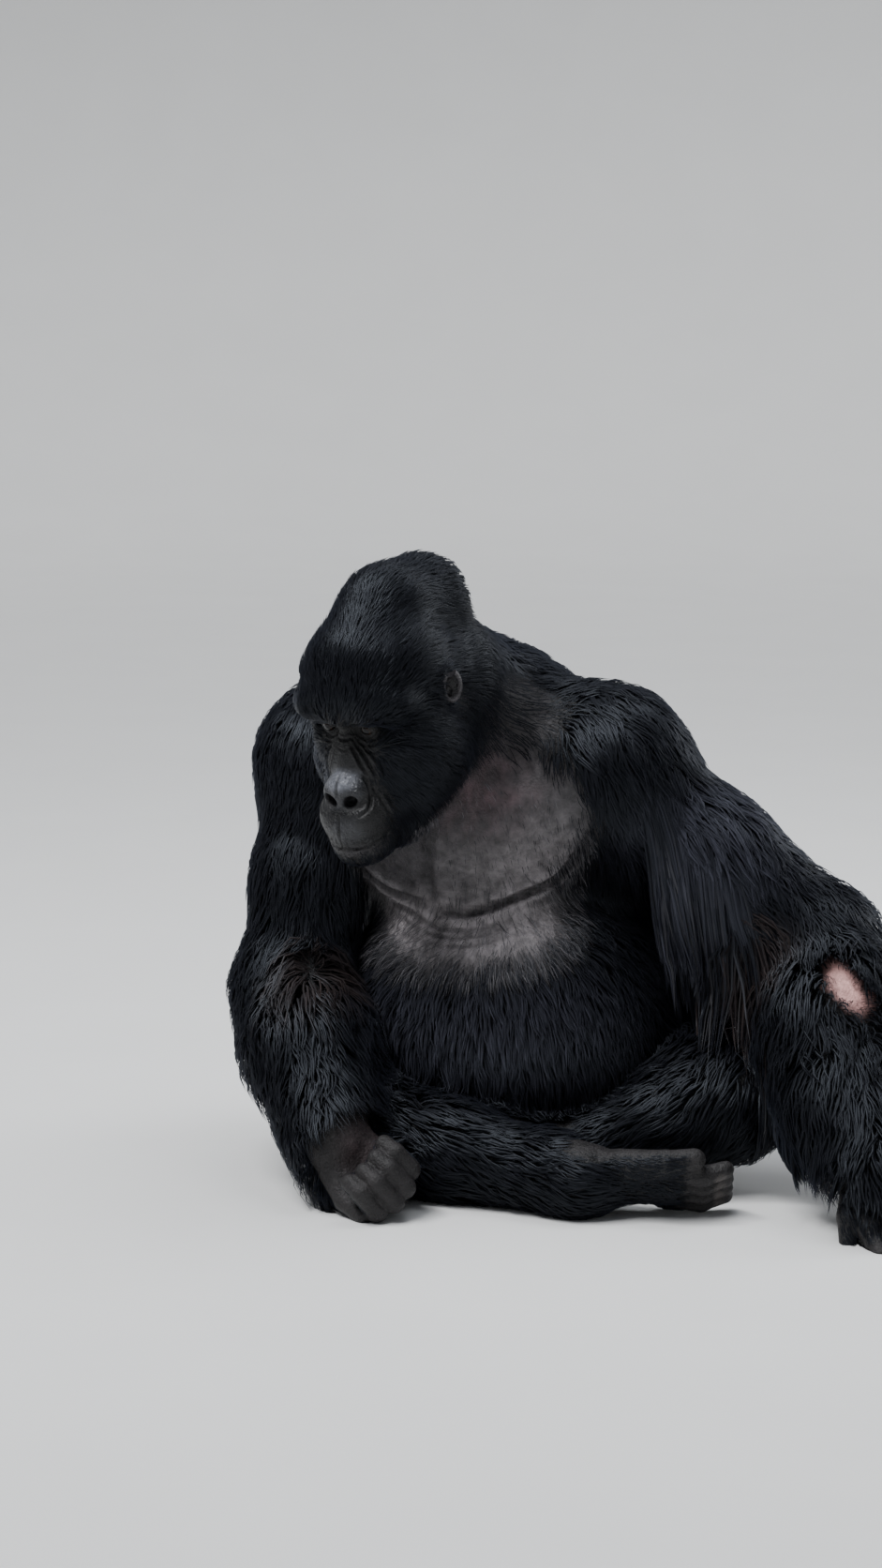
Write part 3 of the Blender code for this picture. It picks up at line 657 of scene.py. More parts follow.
def smooth_line(line, count=24):
    """Evenly spaced points on a smooth curve through the given ones."""
    ends = np.vstack([2 * line[0] - line[1], line, 2 * line[-1] - line[-2]])
    found = []
    for t in np.linspace(0.0, len(line) - 1.0, count):
        i = min(int(t), len(line) - 2)
        f = t - i
        a, b, c, d = ends[i:i + 4]
        bend = (2 * a - 5 * b + 4 * c - d) * f ** 2 + (3 * b - a - 3 * c + d) * f ** 3
        found.append(0.5 * (2 * b + (c - a) * f + bend))
    return np.array(found)


def line_distance(points, line):
    """Distance to a line of points, and how far along it the nearest place is, from 0 to 1."""
    best = np.full(len(points), 1e3)
    along = np.zeros(len(points))
    for i in range(len(line) - 1):
        axis = line[i + 1] - line[i]
        t = np.clip(((points - line[i]) @ axis) / (axis @ axis), 0.0, 1.0)
        away = np.linalg.norm(points - line[i] - t[:, None] * axis, axis=1)
        closer = away < best
        best[closer] = away[closer]
        along[closer] = (i + t[closer]) / (len(line) - 1)
    return best, along


def nose_and_mouth_folds():
    """Mouth, groove of the lip, middle and rims of the nose, creases over its bridge."""
    fold(HEAD, ((-53, -22, -146), (-35, -61, -154), (0, -77, -152), (35, -61, -154), (53, -22, -146)),
         1.6, 4.2, 0.30)
    fold(HEAD, ((0, -61, -103), (0, -70, -118), (0, -76, -138)), 2.2, 1.4, 0.5)
    fold(HEAD, ((0, -30, -52), (0, -52, -66), (0, -53, -84)), 2.8, 1.2, 0.2)
    fold(HEAD, ((-16, 2, -10), (0, -4, -11), (16, 2, -10)), 2.2, 1.6, 0.5)
    fold(HEAD, ((-15, -6, -21), (0, -12, -24), (15, -6, -21)), 1.8, 1.0, 0.5)
    alar = ((26, -20, -58), (38, -22, -70), (43, -28, -84), (42, -44, -100), (30, -57, -108))
    fold(HEAD, alar, 2.4, 2.6, 0.45, True)


def face_wrinkles():
    """Wrinkles beside the bridge, under the eyes, on the cheeks and chin, along the lip and on the brow."""
    beside = (((10, -3, -13), (18, -9, -31), (27, -14, -49), (34, -16, -64)),
              ((13, 1, -12), (25, -3, -28), (36, -7, -49), (45, -10, -70)),
              ((18, 4, -14), (34, 2, -30), (47, 0, -50), (54, -1, -70)))
    for i, line in enumerate(beside):
        fold(HEAD, line, 2.0, 2.8 - 0.3 * i, 0.6, True)
    for line in (((20, 2, -16), (34, 2, -21), (50, 6, -20), (62, 14, -12)),
                 ((26, 0, -27), (45, 2, -34), (64, 8, -28)),
                 ((40, -1, -44), (56, 3, -48), (68, 12, -40))):
        fold(HEAD, line, 1.8, 1.3, 0.5, True)
    for line in (((46, -18, -86), (53, -22, -105), (59, -20, -130), (56, -12, -152)),
                 ((54, -12, -88), (63, -12, -110), (66, -6, -132))):
        fold(HEAD, line, 2.6, 1.2, 0.5, True)
    fold(HEAD, ((-26, -66, -170), (0, -78, -172), (26, -66, -170)), 3.0, 1.4, 0.3)
    for step in range(-4, 5):
        x = 9 * step
        y = -75 + 0.018 * x * x
        fold(HEAD, ((x, y, -136), (x * 1.04, y, -143), (x * 1.08, y, -149)), 1.3, 0.7, 0.5)
    fold(HEAD, ((0, 0, 20), (2, -4, 36), (4, -2, 50)), 3.5, 2.2, 0.3)


def chest_folds():
    """The middle of the chest, the two breast folds and the wrinkles of the band below them."""
    fold(BODY, ((20, -365, 548), (-11, -315, 507), (-28, -285, 452), (-39, -265, 405)), 9, 7, 0.4, shade=0.35)
    fold(BODY, ((-165, -240, 452), (-117, -249, 420), (-39, -265, 403)), 6, 11, 0.6, shade=0.65)
    fold(BODY, ((-39, -265, 403), (30, -263, 400), (106, -229, 425), (160, -196, 455), (215, -205, 530)),
         6, 12, 0.6, shade=0.65)
    fold(BODY, ((-63, -309, 495), (-2, -354, 528), (40, -320, 590)), 9, 5, 0.5, shade=0.35)
    for drop in (18, 34, 52):
        line = np.array(((-130, -220, 418), (-39, -268, 398), (50, -270, 396), (140, -215, 425)))
        fold(BODY, line - (0, 0, drop), 4.5, 2.4, 0.6, shade=0.45)


def toe_gaps():
    """Grooves between the small toes, along the back of the foot."""
    for chain in ("leg_r", "leg_l"):
        for inner, outer in zip(TOES[:-1], TOES[1:]):
            z = (inner + outer) / 2
            fold(LIMBS[chain].end, ((128, 8, z), (172, 9, z), (206, 25, z)), 3.6, 5.0, 0.3)


nose_and_mouth_folds()
face_wrinkles()
chest_folds()
toe_gaps()
co = coordinates(skin_mesh)
normals = point_normals(skin_mesh)
moved = co.copy()
skin_crease = np.zeros(len(co))      # how deep in a fold each point lies, 0 to 1, times the fold's shade; painted darker as painted shade
ridge_highlight = np.zeros(len(co))       # how high on a fold's rim it lies, 0 to 1; painted lighter as painted highlight
for line, width, depth, rim, shade in FOLDS:
    line = smooth_line(line)
    for _ in range(3):
        away, outward = slope_at(line)
        line = line - outward * away[:, None]
    away, along = line_distance(co, line)
    fade = np.sqrt(np.clip(np.sin(pi * np.clip(along, 0.0, 1.0)), 0.0, 1.0))
    dip = np.exp(-(away / width) ** 2)
    rise = rim * np.exp(-((away - 2.0 * width) / width) ** 2)
    moved -= normals * (depth * fade * (dip - rise))[:, None]
    skin_crease = np.maximum(skin_crease, fade * dip * shade)
    ridge_highlight = np.maximum(ridge_highlight, fade * rise)
moved[:, 2] = np.maximum(moved[:, 2], FLOOR_CLEAR)
place_points(skin_mesh, moved)


# ---------------- where the skin is bare
def smooth_step(values, low, high):
    t = np.clip((values - low) / (high - low), 0.0, 1.0)
    return t * t * (3.0 - 2.0 * t)


def spots_of(points, place):
    """A function for spots on a place: 1 inside a ball with three radii, fading to 0 just outside it."""
    def spot(at, radii, edge=0.25):
        return 1.0 - smooth_step(off_centre(points, place, at, radii), 1.0 - edge, 1.0 + edge)
    return spot


def most(*shares):
    return np.max(shares, axis=0)


def swirl(points, size, turn):
    """Smooth noise from -1 to 1 with bumps of about the given size."""
    total = np.zeros(len(points))
    for i in range(4):
        axis = np.array((sin(1.7 * i + turn), cos(2.9 * i + 1.3 * turn), sin(4.1 * i + 2.0 + turn)))
        total += np.sin((points @ unit(axis)) * (2.0 * pi / size) * (1.0 + 0.23 * i) + 2.4 * i + 5.0 * turn)
    return total / 4.0


def labels(points):
    """The number of the chain that each point belongs to."""
    cloud = Cloud(points)
    return np.argmin([chain_distance(cloud, chain, 0.0) for chain in CHAINS], axis=0)


def face_bare(points):
    """Muzzle, nose, lids and the skin between them."""
    spot = spots_of(points, HEAD)
    return most(spot((0, -50, -106), (66, 68, 66), 0.16), spot((0, -8, -46), (44, 32, 52), 0.24),
                spot((0, 0, -6), (62, 32, 24), 0.20))


def chest_bare(points):
    """The front of the chest, and the thinly haired side of the neck."""
    spot = spots_of(points + 0.012 * swirl(points, 0.045, 0.4)[:, None], BODY)
    breast = most(spot((5, -270, 425), (228, 130, 122), 0.26), spot((80, -270, 540), (150, 130, 110), 0.22),
                  spot((-110, -290, 480), (80, 100, 80), 0.25))
    return most(breast, 0.70 * spot((78, -220, 680), (65, 90, 95), 0.45))


def ear_bare(points):
    """The ears, and the thinly haired skin below them."""
    spot = spots_of(points, HEAD)
    return most(*(most(spot((EAR_OUT[side] + 5 * side, EAR_BACK, EAR_UP), (17, 20, 28), 0.15),
                       0.75 * spot((90 * side, EAR_BACK + 20, EAR_UP - 46), (30, 22, 30), 0.55))
                  for side in (1, -1)))


PATCH = Place((590, -176, 326), np.stack([unit((0.667, -0.308, -0.678)), unit((0.63, -0.20, 0.75)),
                                          unit((0.34, 0.93, -0.10))], axis=1))


def patch_bare(points):
    """The long pink patch inside the left forearm."""
    ragged = points + 0.004 * swirl(points, 0.02, 1.7)[:, None]
    return spots_of(ragged, PATCH)((0, 0, 0), (46, 12.5, 40), 0.45)


def limb_bare(points, normals, chains):
    """Palms, soles and the undersides and ends of the fingers and toes."""
    found = np.zeros(len(points))
    for number, (chain, limb) in enumerate(LIMBS.items()):
        length, width = (0.105, 0.085) if chain.startswith("arm") else (0.135, 0.070)
        local = limb.end.local(points)
        facing = normals @ limb.end.turn[:, 1]
        under = smooth_step(facing, -0.25, 0.15) * smooth_step(local[:, 0], -0.055, -0.025)
        ends = smooth_step(local[:, 0], length, length + 0.03)
        aside = np.hypot(local[:, 1], local[:, 2])
        close = 1.0 - smooth_step(aside, width + 0.03, width + 0.06)
        close *= 1.0 - smooth_step(local[:, 0], 0.23, 0.27)
        close *= smooth_step(local[:, 0], -0.07, -0.05) * (chains == number + 1)
        found = most(found, most(under, ends) * close)
    return found


def toe_nails(points):
    return most(*(spots_of(points, LIMBS[chain].end)((202, 24, z), (10, 10, 7.5))
                  for chain in ("leg_r", "leg_l") for z in TOES))


class Sites:
    """Places on the skin and how bare each one is, from 0 under the full coat to 1."""

    def __init__(self, points, normals):
        self.points = points
        self.normals = normals
        self.chains = labels(points)
        self.face = face_bare(points)
        self.chest = chest_bare(points) * (self.chains == TRUNK)
        self.ears = ear_bare(points)
        self.patch = patch_bare(points)
        self.limbs = limb_bare(points, normals, self.chains)
        self.bare = most(self.face, self.chest, self.ears, self.patch, self.limbs)


# ---------------- colours of the skin
def rgb(*values):
    return np.array(values)


DARK = rgb(0.0, 0.0, 0.0)
HIDE = rgb(0.006, 0.006, 0.007)          # skin under the coat
LEATHER = rgb(0.0075, 0.0074, 0.0080)    # bare face
MUZZLE = rgb(0.0060, 0.0060, 0.0068)     # lips and the front of the muzzle
PAD = rgb(0.0220, 0.0230, 0.0265)        # nose pad
LIDS = rgb(0.0026, 0.0025, 0.0026)       # skin round the eyes; partly its own dark colour, partly painted shade under the brow
CHEST_SKIN = rgb(0.058, 0.054, 0.057)    # bare chest
BAND = rgb(0.195, 0.178, 0.183)          # wrinkled band below the breast
ROSE = rgb(0.110, 0.070, 0.077)          # pink of the neck's side
PINK = rgb(0.700, 0.390, 0.360)          # patch of the forearm
PALM_SKIN = rgb(0.0130, 0.0115, 0.0120)
HEEL_SKIN = rgb(0.042, 0.031, 0.032)     # ball of the thumb
NAIL = rgb(0.0500, 0.0430, 0.0400)
EAR_SKIN = rgb(0.048, 0.044, 0.048)
HOLLOW_SHADE = rgb(0.006, 0.005, 0.006)           # painted shade in the nostrils and the hollow of the ear
LIP = rgb(0.020, 0.018, 0.020)


def mixed(colours, other, share):
    return colours + (other - colours) * share[:, None]


def layered(colour, layers, count):
    """One colour with others laid over it, each with its share at every point."""
    colours = np.repeat(colour[None, :], count, axis=0)
    for other, share in layers:
        colours = mixed(colours, other, share)
    return colours


def chest_layers(points, chest):
    spot = spots_of(points, BODY)
    rosy = spot((75, -300, 600), (85, 80, 80), 0.55) * (0.60 + 0.45 * swirl(points, 0.05, 2.2))
    return [
        (CHEST_SKIN, chest),
        (BAND, chest * spot((10, -270, 368), (230, 120, 50), 0.60)),
        # painted highlight: the lower part of the left breast, above its fold, lighter where the light falls
        # on it
        (BAND * 0.85, chest * 0.8 * spot((120, -280, 480), (100, 100, 80), 0.60)),
        # painted shadow of the head over the upper chest
        (CHEST_SKIN * 0.55, chest * spot((0, -280, 570), (130, 120, 70), 0.60)),
        (ROSE, chest * 0.7 * np.clip(rosy, 0.0, 1.0)),
        (DARK, chest * -0.22 * swirl(points, 0.060, 1.9)),
    ]


def face_layers(points, face):
    spot = spots_of(points, HEAD)
    # the sides of the face, painted darker as painted shade
    sides = smooth_step(np.abs(HEAD.local(points)[:, 0]), 0.030, 0.052)
    # the near side of the upper lip, where a speckled painted sheen goes
    lip = spot((14, -86, -124), (30, 30, 16), 0.70)
    return [
        (LEATHER, face),
        (MUZZLE, face * spot((0, -66, -124), (46, 45, 50), 0.60)),
        (MUZZLE * 1.2, face * spot((0, -10, -50), (18, 30, 30), 0.70)),
        (PAD, spot((0, -44, -72), (38, 28, 24), 0.35)),
        # painted highlight on the top of the nose pad
        (PAD * 6.0, 0.8 * spot((0, -42, -58), (30, 24, 11), 0.60)),
        # painted sheen, speckled, on the near side of the upper lip
        (PAD * 1.5, face * lip * (0.65 + 0.35 * swirl(points, 0.007, 0.5))),
        # painted shade on the sides of the face
        (DARK, face * 0.45 * sides),
        # painted shade on the lower lip and chin, under the muzzle
        (DARK, face * 0.80 * spot((0, -50, -180), (60, 60, 24), 0.50)),
        # painted shade under the brow, over the dark skin round the eyes
        (LIDS, spot((0, 2, -2), (74, 45, 30), 0.40)),
        (LIP, 0.8 * spot((0, -66, -160), (50, 36, 11), 0.60)),
        # painted shade in the nostrils
        (HOLLOW_SHADE, spot((NOSTRIL_X, -44, NOSTRIL_Z), (12, 15, 9))),
        (HOLLOW_SHADE, spot((-NOSTRIL_X, -44, NOSTRIL_Z), (12, 15, 9))),
    ]


# the hollow of an ear, painted dark as painted shade
def ear_hollow(points, side):
    place = Place(HEAD((EAR_OUT[side], EAR_BACK, EAR_UP)) * 1000.0, HEAD.turn @ ear_turn(side))
    return spots_of(points, place)((5 * side, -1.5, 1.5), (12, 10.5, 18), 0.15)


def skin_colours(sites):
    points = sites.points
    heel = spots_of(points, LIMBS["arm_r"].end)((30, 20, -20), (40, 40, 40), 0.50)
    layers = chest_layers(points, sites.chest) + face_layers(points, sites.face) + [
        (EAR_SKIN, sites.ears),
        # painted shade in the hollows of the ears
        (HOLLOW_SHADE, ear_hollow(points, 1)),
        (HOLLOW_SHADE, ear_hollow(points, -1)),
        (PINK, sites.patch),
        (PALM_SKIN, sites.limbs),
        (NAIL, toe_nails(points)),
        (HEEL_SKIN, sites.limbs * heel),
    ]
    # random mottle of the skin; the fine speckle, stronger on the face, is partly the skin's own mottle and
    # partly a painted sheen of moist skin
    mottle_and_painted_light = 1.0 + 0.12 * swirl(points, 0.018, 0.9) + (0.10 + 0.25 * sites.face) * swirl(points, 0.006, 3.1)
    # painted shade in the creases of the folds and painted highlight on their rims
    mottle_and_painted_light *= 1.0 - 0.75 * skin_crease + 0.60 * ridge_highlight
    return layered(HIDE, layers, len(points)) * mottle_and_painted_light[:, None]


def skin_gloss(sites):
    """How smooth and moist the skin is, from 0 to 1."""
    spot = spots_of(sites.points, HEAD)
    gloss = 0.30 + 0.25 * sites.face + 0.15 * sites.chest
    gloss += 0.40 * spot((0, -46, -78), (44, 40, 30), 0.40)
    gloss += 0.28 * spot((0, -66, -140), (50, 45, 45), 0.50)
    gloss += 0.40 * (sites.ears + toe_nails(sites.points))
    for side in (1, -1):
        gloss *= 1.0 - 0.9 * spot((NOSTRIL_X * side, -44, NOSTRIL_Z - 1.5), (16, 20, 14), 0.35)
    gloss *= 1.0 - 0.8 * spot((0, 2, 4), (74, 45, 24), 0.40)
    return np.clip(gloss * (1.0 - 0.6 * skin_crease), 0.0, 1.0)


def paint(mesh, colours):
    """Keeps a colour for each point of a mesh."""
    layer = mesh.attributes.new("paint", "FLOAT_COLOR", "POINT")
    rows = np.ones((len(colours), 4), np.float32)
    rows[:, :3] = np.clip(colours, 0.0, 1.0)
    layer.data.foreach_set("color", rows.ravel())


on_skin = Sites(coordinates(skin_mesh), point_normals(skin_mesh))
paint(skin_mesh, skin_colours(on_skin))
gloss_layer = skin_mesh.attributes.new("gloss", "FLOAT", "POINT")
gloss_layer.data.foreach_set("value", skin_gloss(on_skin).astype(np.float32))


# ---------------- how the hair lies
FLOWS = {chain: [] for chain in CHAINS}


def lie(chain, at, direction, reach, place=BODY):
    """Hair near this spot points this way."""
    FLOWS[chain].append((place(at), place.turn @ unit(direction), reach / 1000.0, 1.0))


def whorl(chain, at, reach, strength):
    """Hair near this spot points away from it on all sides."""
    FLOWS[chain].append((metres(at), None, reach / 1000.0, strength))


def flow(points, chain):
    total = np.zeros_like(points)
    for at, direction, reach, strength in FLOWS[chain]:
        away = points - at
        squared = (away ** 2).sum(axis=1)
        weight = strength * np.exp(-squared / reach ** 2)
        if direction is None:
            direction = away / np.sqrt(squared + 1e-8)[:, None]
        else:
            weight += 1e-5 / (squared + 0.01)
        total += weight[:, None] * direction
    return total


def head_flow():
    lie("trunk", (0, -10, 40), (0, 0.55, 0.83), 35, HEAD)
    lie("trunk", (0, 40, 95), (0, 0.80, 0.60), 50, HEAD)
    lie("trunk", (0, 130, 165), (0, 1.00, 0.05), 60, HEAD)
    lie("trunk", (0, 230, 120), (0, 0.75, -0.65), 60, HEAD)
    for side in (1, -1):
        lie("trunk", (50 * side, -5, 38), (0.45 * side, 0.55, 0.70), 30, HEAD)
        lie("trunk", (80 * side, 40, 20), (0.30 * side, 0.90, 0.10), 35, HEAD)
        lie("trunk", (75 * side, 80, 75), (0.10 * side, 0.98, 0.15), 45, HEAD)
        lie("trunk", (85 * side, 140, 40), (0, 0.95, -0.30), 45, HEAD)
        lie("trunk", (95 * side, 60, -30), (0.20 * side, 0.80, -0.55), 40, HEAD)
        lie("trunk", (100 * side, 75, -80), (0.15 * side, 0.55, -0.80), 45, HEAD)
        lie("trunk", (70 * side, 20, -110), (0.45 * side, 0.35, -0.80), 35, HEAD)
        lie("trunk", (70 * side, 70, -150), (0.10 * side, 0.35, -0.92), 40, HEAD)
    lie("trunk", (0, -20, -200), (0, 0.20, -0.95), 50, HEAD)


def trunk_flow():
    lie("trunk", (-50, -60, 760), (0, 0.85, -0.40), 90)
    lie("trunk", (-40, 80, 640), (0, 0.35, -0.94), 100)
    lie("trunk", (0, 150, 450), (0, 0, -1), 120)
    lie("trunk", (0, 180, 220), (0, -0.05, -1), 120)
    lie("trunk", (0, -320, 330), (0.05, 0, -1), 110)
    lie("trunk", (0, -330, 200), (0, 0.10, -1), 100)
    lie("trunk", (-50, -330, 560), (0, 0.05, -1), 90)
    for side in (1, -1):
        lie("trunk", (130 * side - 50, -100, 730), (0.80 * side, 0.30, -0.45), 80)
        lie("trunk", (180 * side - 30, -200, 520), (0.35 * side, 0, -0.93), 80)
        lie("trunk", (230 * side, -60, 420), (0.10 * side, 0.15, -0.98), 110)
        lie("trunk", (250 * side, -100, 230), (0.15 * side, 0.10, -0.98), 110)
        lie("trunk", (150 * side, -290, 300), (0.22 * side, 0, -0.97), 100)


def limb_flow(chain, upper_fall, lower_fall, bend_reach, between, between_reach, on_hand):
    """Hair that runs down a limb and falls towards the ground; between are shares of the lower part."""
    root, middle, wrist = LIMBS[chain].joints
    end = LIMBS[chain].end
    upper = unit(unit(middle - root) - (0, 0, upper_fall))
    lower = unit(unit(wrist - middle) - (0, 0, lower_fall))
    lie(chain, root, upper, 120)
    lie(chain, (root + middle) / 2, upper, 110)
    lie(chain, middle, unit(upper + lower), bend_reach)
    for share in between:
        lie(chain, middle + (wrist - middle) * share, lower, between_reach)
    lie(chain, wrist, unit(lower + end.turn[:, 0]), 50)
    lie(chain, (on_hand, 0, 0), (1, 0, 0), 80, end)


ELBOW_WHORL_L = (434, -118, 353)
head_flow()
trunk_flow()
limb_flow("arm_r", 0.10, 0.35, 70, (1 / 3, 2 / 3), 80, 100)
limb_flow("arm_l", 0.42, 0.35, 70, (1 / 3, 2 / 3), 80, 100)
limb_flow("leg_r", 0.5, 0.25, 80, (1 / 2,), 100, 120)
limb_flow("leg_l", 0.5, 0.25, 80, (1 / 2,), 100, 120)
whorl("arm_l", ELBOW_WHORL_L, 60, 0.8)
whorl("arm_r", (-178, -364, 312), 50, 0.8)
whorl("arm_l", (575, -237, 243), 40, 0.7)
skin_depth = Sampler(grid, skin_values)
coat_depth = Sampler(grid, skin_values - body_distance(grid, 1.0))


# ---------------- tufts, in metres
@dataclass
class Kind:
    """How the hair of one part of the body is made."""
    name: str
    spacing: float
    length: float
    width: float
    rings: int
    clump: float             # how far tips are drawn together, 0 to 1
    pack: float              # spacing of the locks that tips are drawn to
    curl: float = 0.0        # sideways wave
    wild: float = 0.12       # spread of the directions
    sag: float = 0.0         # how far long hair bends down
    hang: float = 0.0        # how freely it hangs off the body, 0 for hair that lies on it
    down: bool = False       # sparse fine hair on bare skin


PATCH_SIZE = 0.003
TUFT_SPREAD = 0.20       # spread of the lengths
ROOT_DEPTH = 0.0010
ROUNDNESS = 0.55         # how round a lock is shaded, from 0 for flat
PIECE_LIMIT = 190000     # triangles


def thinned(points, spacing, rng):
    """Rows of points left when each small cell of space keeps one."""
    order = rng.permutation(len(points))
    cells = np.floor(points[order] / spacing).astype(np.int64)
    keys = (cells[:, 0] * 73856093) ^ (cells[:, 1] * 19349663) ^ (cells[:, 2] * 83492791)
    _, first = np.unique(keys, return_index=True)
    return order[first]


def rooted(kind, wanted, rng):
    """Roots spread over the wanted triangles of the skin."""
    tri = skin_triangles[wanted]
    a, b, c = (on_skin.points[tri[:, i]] for i in range(3))
    area = np.linalg.norm(np.cross(b - a, c - a), axis=1) / 2.0
    hairy = 1.0 - on_skin.bare[tri].mean(axis=1)
    if kind.down:
        hairy = 4.0 * hairy * (1.0 - hairy) + 0.06
    weight = area * hairy
    count = int(weight.sum() / kind.spacing ** 2 * 2.6)
    pick = rng.choice(len(tri), count, p=weight / weight.sum())
    u = rng.random(count)
    v = rng.random(count)
    flip = u + v > 1.0
    u[flip] = 1.0 - u[flip]
    v[flip] = 1.0 - v[flip]
    share = np.stack([1.0 - u - v, u, v], axis=1)[:, :, None]
    points = (on_skin.points[tri[pick]] * share).sum(axis=1)
    normals = (on_skin.normals[tri[pick]] * share).sum(axis=1)
    keep = thinned(points, kind.spacing, rng)
    return Sites(points[keep], (normals / rows_over(normals))[keep])


def hair_lengths(kind, roots, depth, rng):
    """Longer in the deep of the coat, short by bare skin, the ears and the forearm's patch."""
    points = roots.points
    size = 1.0 + TUFT_SPREAD * rng.standard_normal(len(points)).clip(-2.0, 2.0)
    length = kind.length * size * (1.0 + 0.15 * swirl(points, 0.07, 1.1))
    length *= 1.0 - 0.65 * np.clip(roots.bare * 2.0, 0.0, 1.0)
    if not kind.hang:
        length = np.clip(length, depth * 1.7, depth * 4.0 + 0.008)
    from_ear = np.linalg.norm(np.abs(HEAD.local(points)) - metres((EAR_OUT[1], EAR_BACK, EAR_UP)), axis=1)
    from_patch = np.linalg.norm(PATCH.local(points) * (0.36, 1.0, 1.0), axis=1)
    length *= 0.28 + 0.72 * smooth_step(from_ear, 0.027, 0.052)
    return length * (0.22 + 0.78 * smooth_step(from_patch, 0.012, 0.052))


def way_of_hair(kind, place, out, bend, chains, s):
    """The direction along the skin that hair takes at a share s of its length."""
    way = np.zeros_like(place)
    for number, chain in enumerate(CHAINS):
        rows = np.flatnonzero(chains == number)
        way[rows] = flow(place[rows], chain)
    way /= rows_over(way)
    way[:, 2] -= kind.sag * s
    way -= out * (way * out).sum(axis=1)[:, None]
    way /= rows_over(way)
    return way * np.cos(bend)[:, None] + np.cross(out, way) * np.sin(bend)[:, None]


def grown(kind, roots, rng):
    """The middle lines of the tufts, ring by ring, with the outward direction at each ring."""
    place = roots.points
    out = roots.normals
    count = len(place)
    depth = np.clip(coat_depth(place), 0.0015, 0.066)
    length = hair_lengths(kind, roots, depth, rng)
    rise = depth * rng.uniform(0.30, 1.0, count) ** 0.5
    off = skin_depth(place)
    aside = kind.wild * rng.standard_normal(count) + 0.35 * swirl(place, 0.060, 0.3)
    aside += 0.22 * swirl(place, 0.023, 2.6)
    phase = rng.uniform(0.0, 2.0 * pi, count)
    centres = [place - out * ROOT_DEPTH]
    outs = [out]
    for ring in range(1, kind.rings + 1):
        s = ring / kind.rings
        out = roots.normals if ring == 1 else skin_depth.outward(place)
        way = way_of_hair(kind, place, out, aside + kind.curl * np.sin(phase + s * 5.0), roots.chains, s)
        if kind.hang:
            way = way * 0.5 + out * (0.55 * (1.0 - s)) + (0.0, 0.0, -kind.hang * (0.4 + s))
            way /= rows_over(way)
        place = place + way * (length / kind.rings)[:, None]
        if kind.hang:
            place[:, 2] += np.clip(skin_depth(place) - coat_depth(place), 0.0, None)
        else:
            high = rise * sin(min(1.0, s * 1.15) * pi / 2.0) ** 0.8
            place += out * (high - skin_depth(place) + off * (1.0 - s))[:, None]
        centres.append(place)
        outs.append(out)
    return np.stack(centres, axis=1), np.stack(outs, axis=1)


def clumped(kind, centres, rng):
    """Draw each tuft towards the nearest leading one, more at its tip."""
    leaders = thinned(centres[:, 0], kind.pack, rng)
    tree = KDTree(len(leaders))
    for row, lead in enumerate(leaders):
        tree.insert(centres[lead, 0], row)
    tree.balance()
    nearest = np.array([tree.find(root)[1] for root in centres[:, 0]])
    guide = centres[leaders[nearest]]
    s = np.linspace(0.0, 1.0, centres.shape[1])[None, :, None]
    return centres + (guide - centres) * kind.clump * s ** 1.3


def lock_faces(rings):
    """Triangles of one closed lock: its root, its three sides and its tip."""
    faces = [(0, 2, 1)]
    for low in range(0, rings * 3, 3):
        for i in range(3):
            a = low + i
            b = low + (i + 1) % 3
            faces += [(a, b, b + 3), (a, b + 3, a + 3)] if low < rings * 3 - 3 else [(a, b, rings * 3)]
    return np.array(faces)


def with_tips(sides, tips):
    """The rows of each lock: three for each ring, then one for the tip."""
    return np.concatenate([np.stack(sides, axis=2).reshape(len(tips), -1, 3), tips[:, None]], axis=1)


def tuft_mesh(name, kind, centres, outs, chart, tones, tips, slim, rng):
    """Closed three-sided locks that taper to their tips, each with its own patch of the chart."""
    count = len(centres)
    along = np.empty_like(centres)
    along[:, 1:-1] = centres[:, 2:] - centres[:, :-2]
    along[:, 0] = centres[:, 1] - centres[:, 0]
    along[:, -1] = centres[:, -1] - centres[:, -2]
    across = np.cross(along, outs)
    across /= rows_over(across)
    top = np.cross(across, along)
    top = (top / rows_over(top))[:, :-1]
    across = across[:, :-1]
    s = np.linspace(0.0, 1.0, kind.rings + 1)[None, :-1]
    taper = (0.72 + 0.9 * s - 1.25 * s ** 2)[:, :, None]
    width = (kind.width * slim * rng.uniform(0.75, 1.25, count))[:, None, None] * taper / 2.0
    middle = centres[:, :-1]
    points = with_tips([middle + across * width, middle - across * width, middle + top * width * 0.85],
                       centres[:, -1])
    points[:, :, 2] = np.maximum(points[:, :, 2], FLOOR_CLEAR)
    each = points.shape[1]
    corners = (lock_faces(kind.rings)[None] + (np.arange(count) * each)[:, None, None]).reshape(-1)
    mesh = mesh_of(name, points.reshape(-1, 3), corners.reshape(-1, 3))
    reach = np.append(np.repeat(np.arange(kind.rings) / kind.rings, 3), 1.0)
    patch = np.stack([np.append(np.tile((0.0, 1.0, 0.5), kind.rings), 0.5), reach], axis=1) * PATCH_SIZE
    uv = (chart[:, None] * (1.0 - PATCH_SIZE) + patch[None]).reshape(-1, 2)
    layer = mesh.uv_layers.new(name="OFBake")
    layer.data.foreach_set("uv", uv[corners].astype(np.float32).ravel())
    reach = reach[None, :, None]
    tinted = tones[:, None] * (0.70 + 0.45 * reach) + (tips - tones)[:, None] * reach ** 2
    paint(mesh, tinted.reshape(-1, 3))
    mesh.shade_smooth()
    side = across * ROUNDNESS
    lit = with_tips([outs[:, :-1] + side, outs[:, :-1] - side, outs[:, :-1]], outs[:, -1]).reshape(-1, 3)
    mesh.normals_split_custom_set_from_vertices((lit / rows_over(lit)).astype(np.float32))
    return mesh


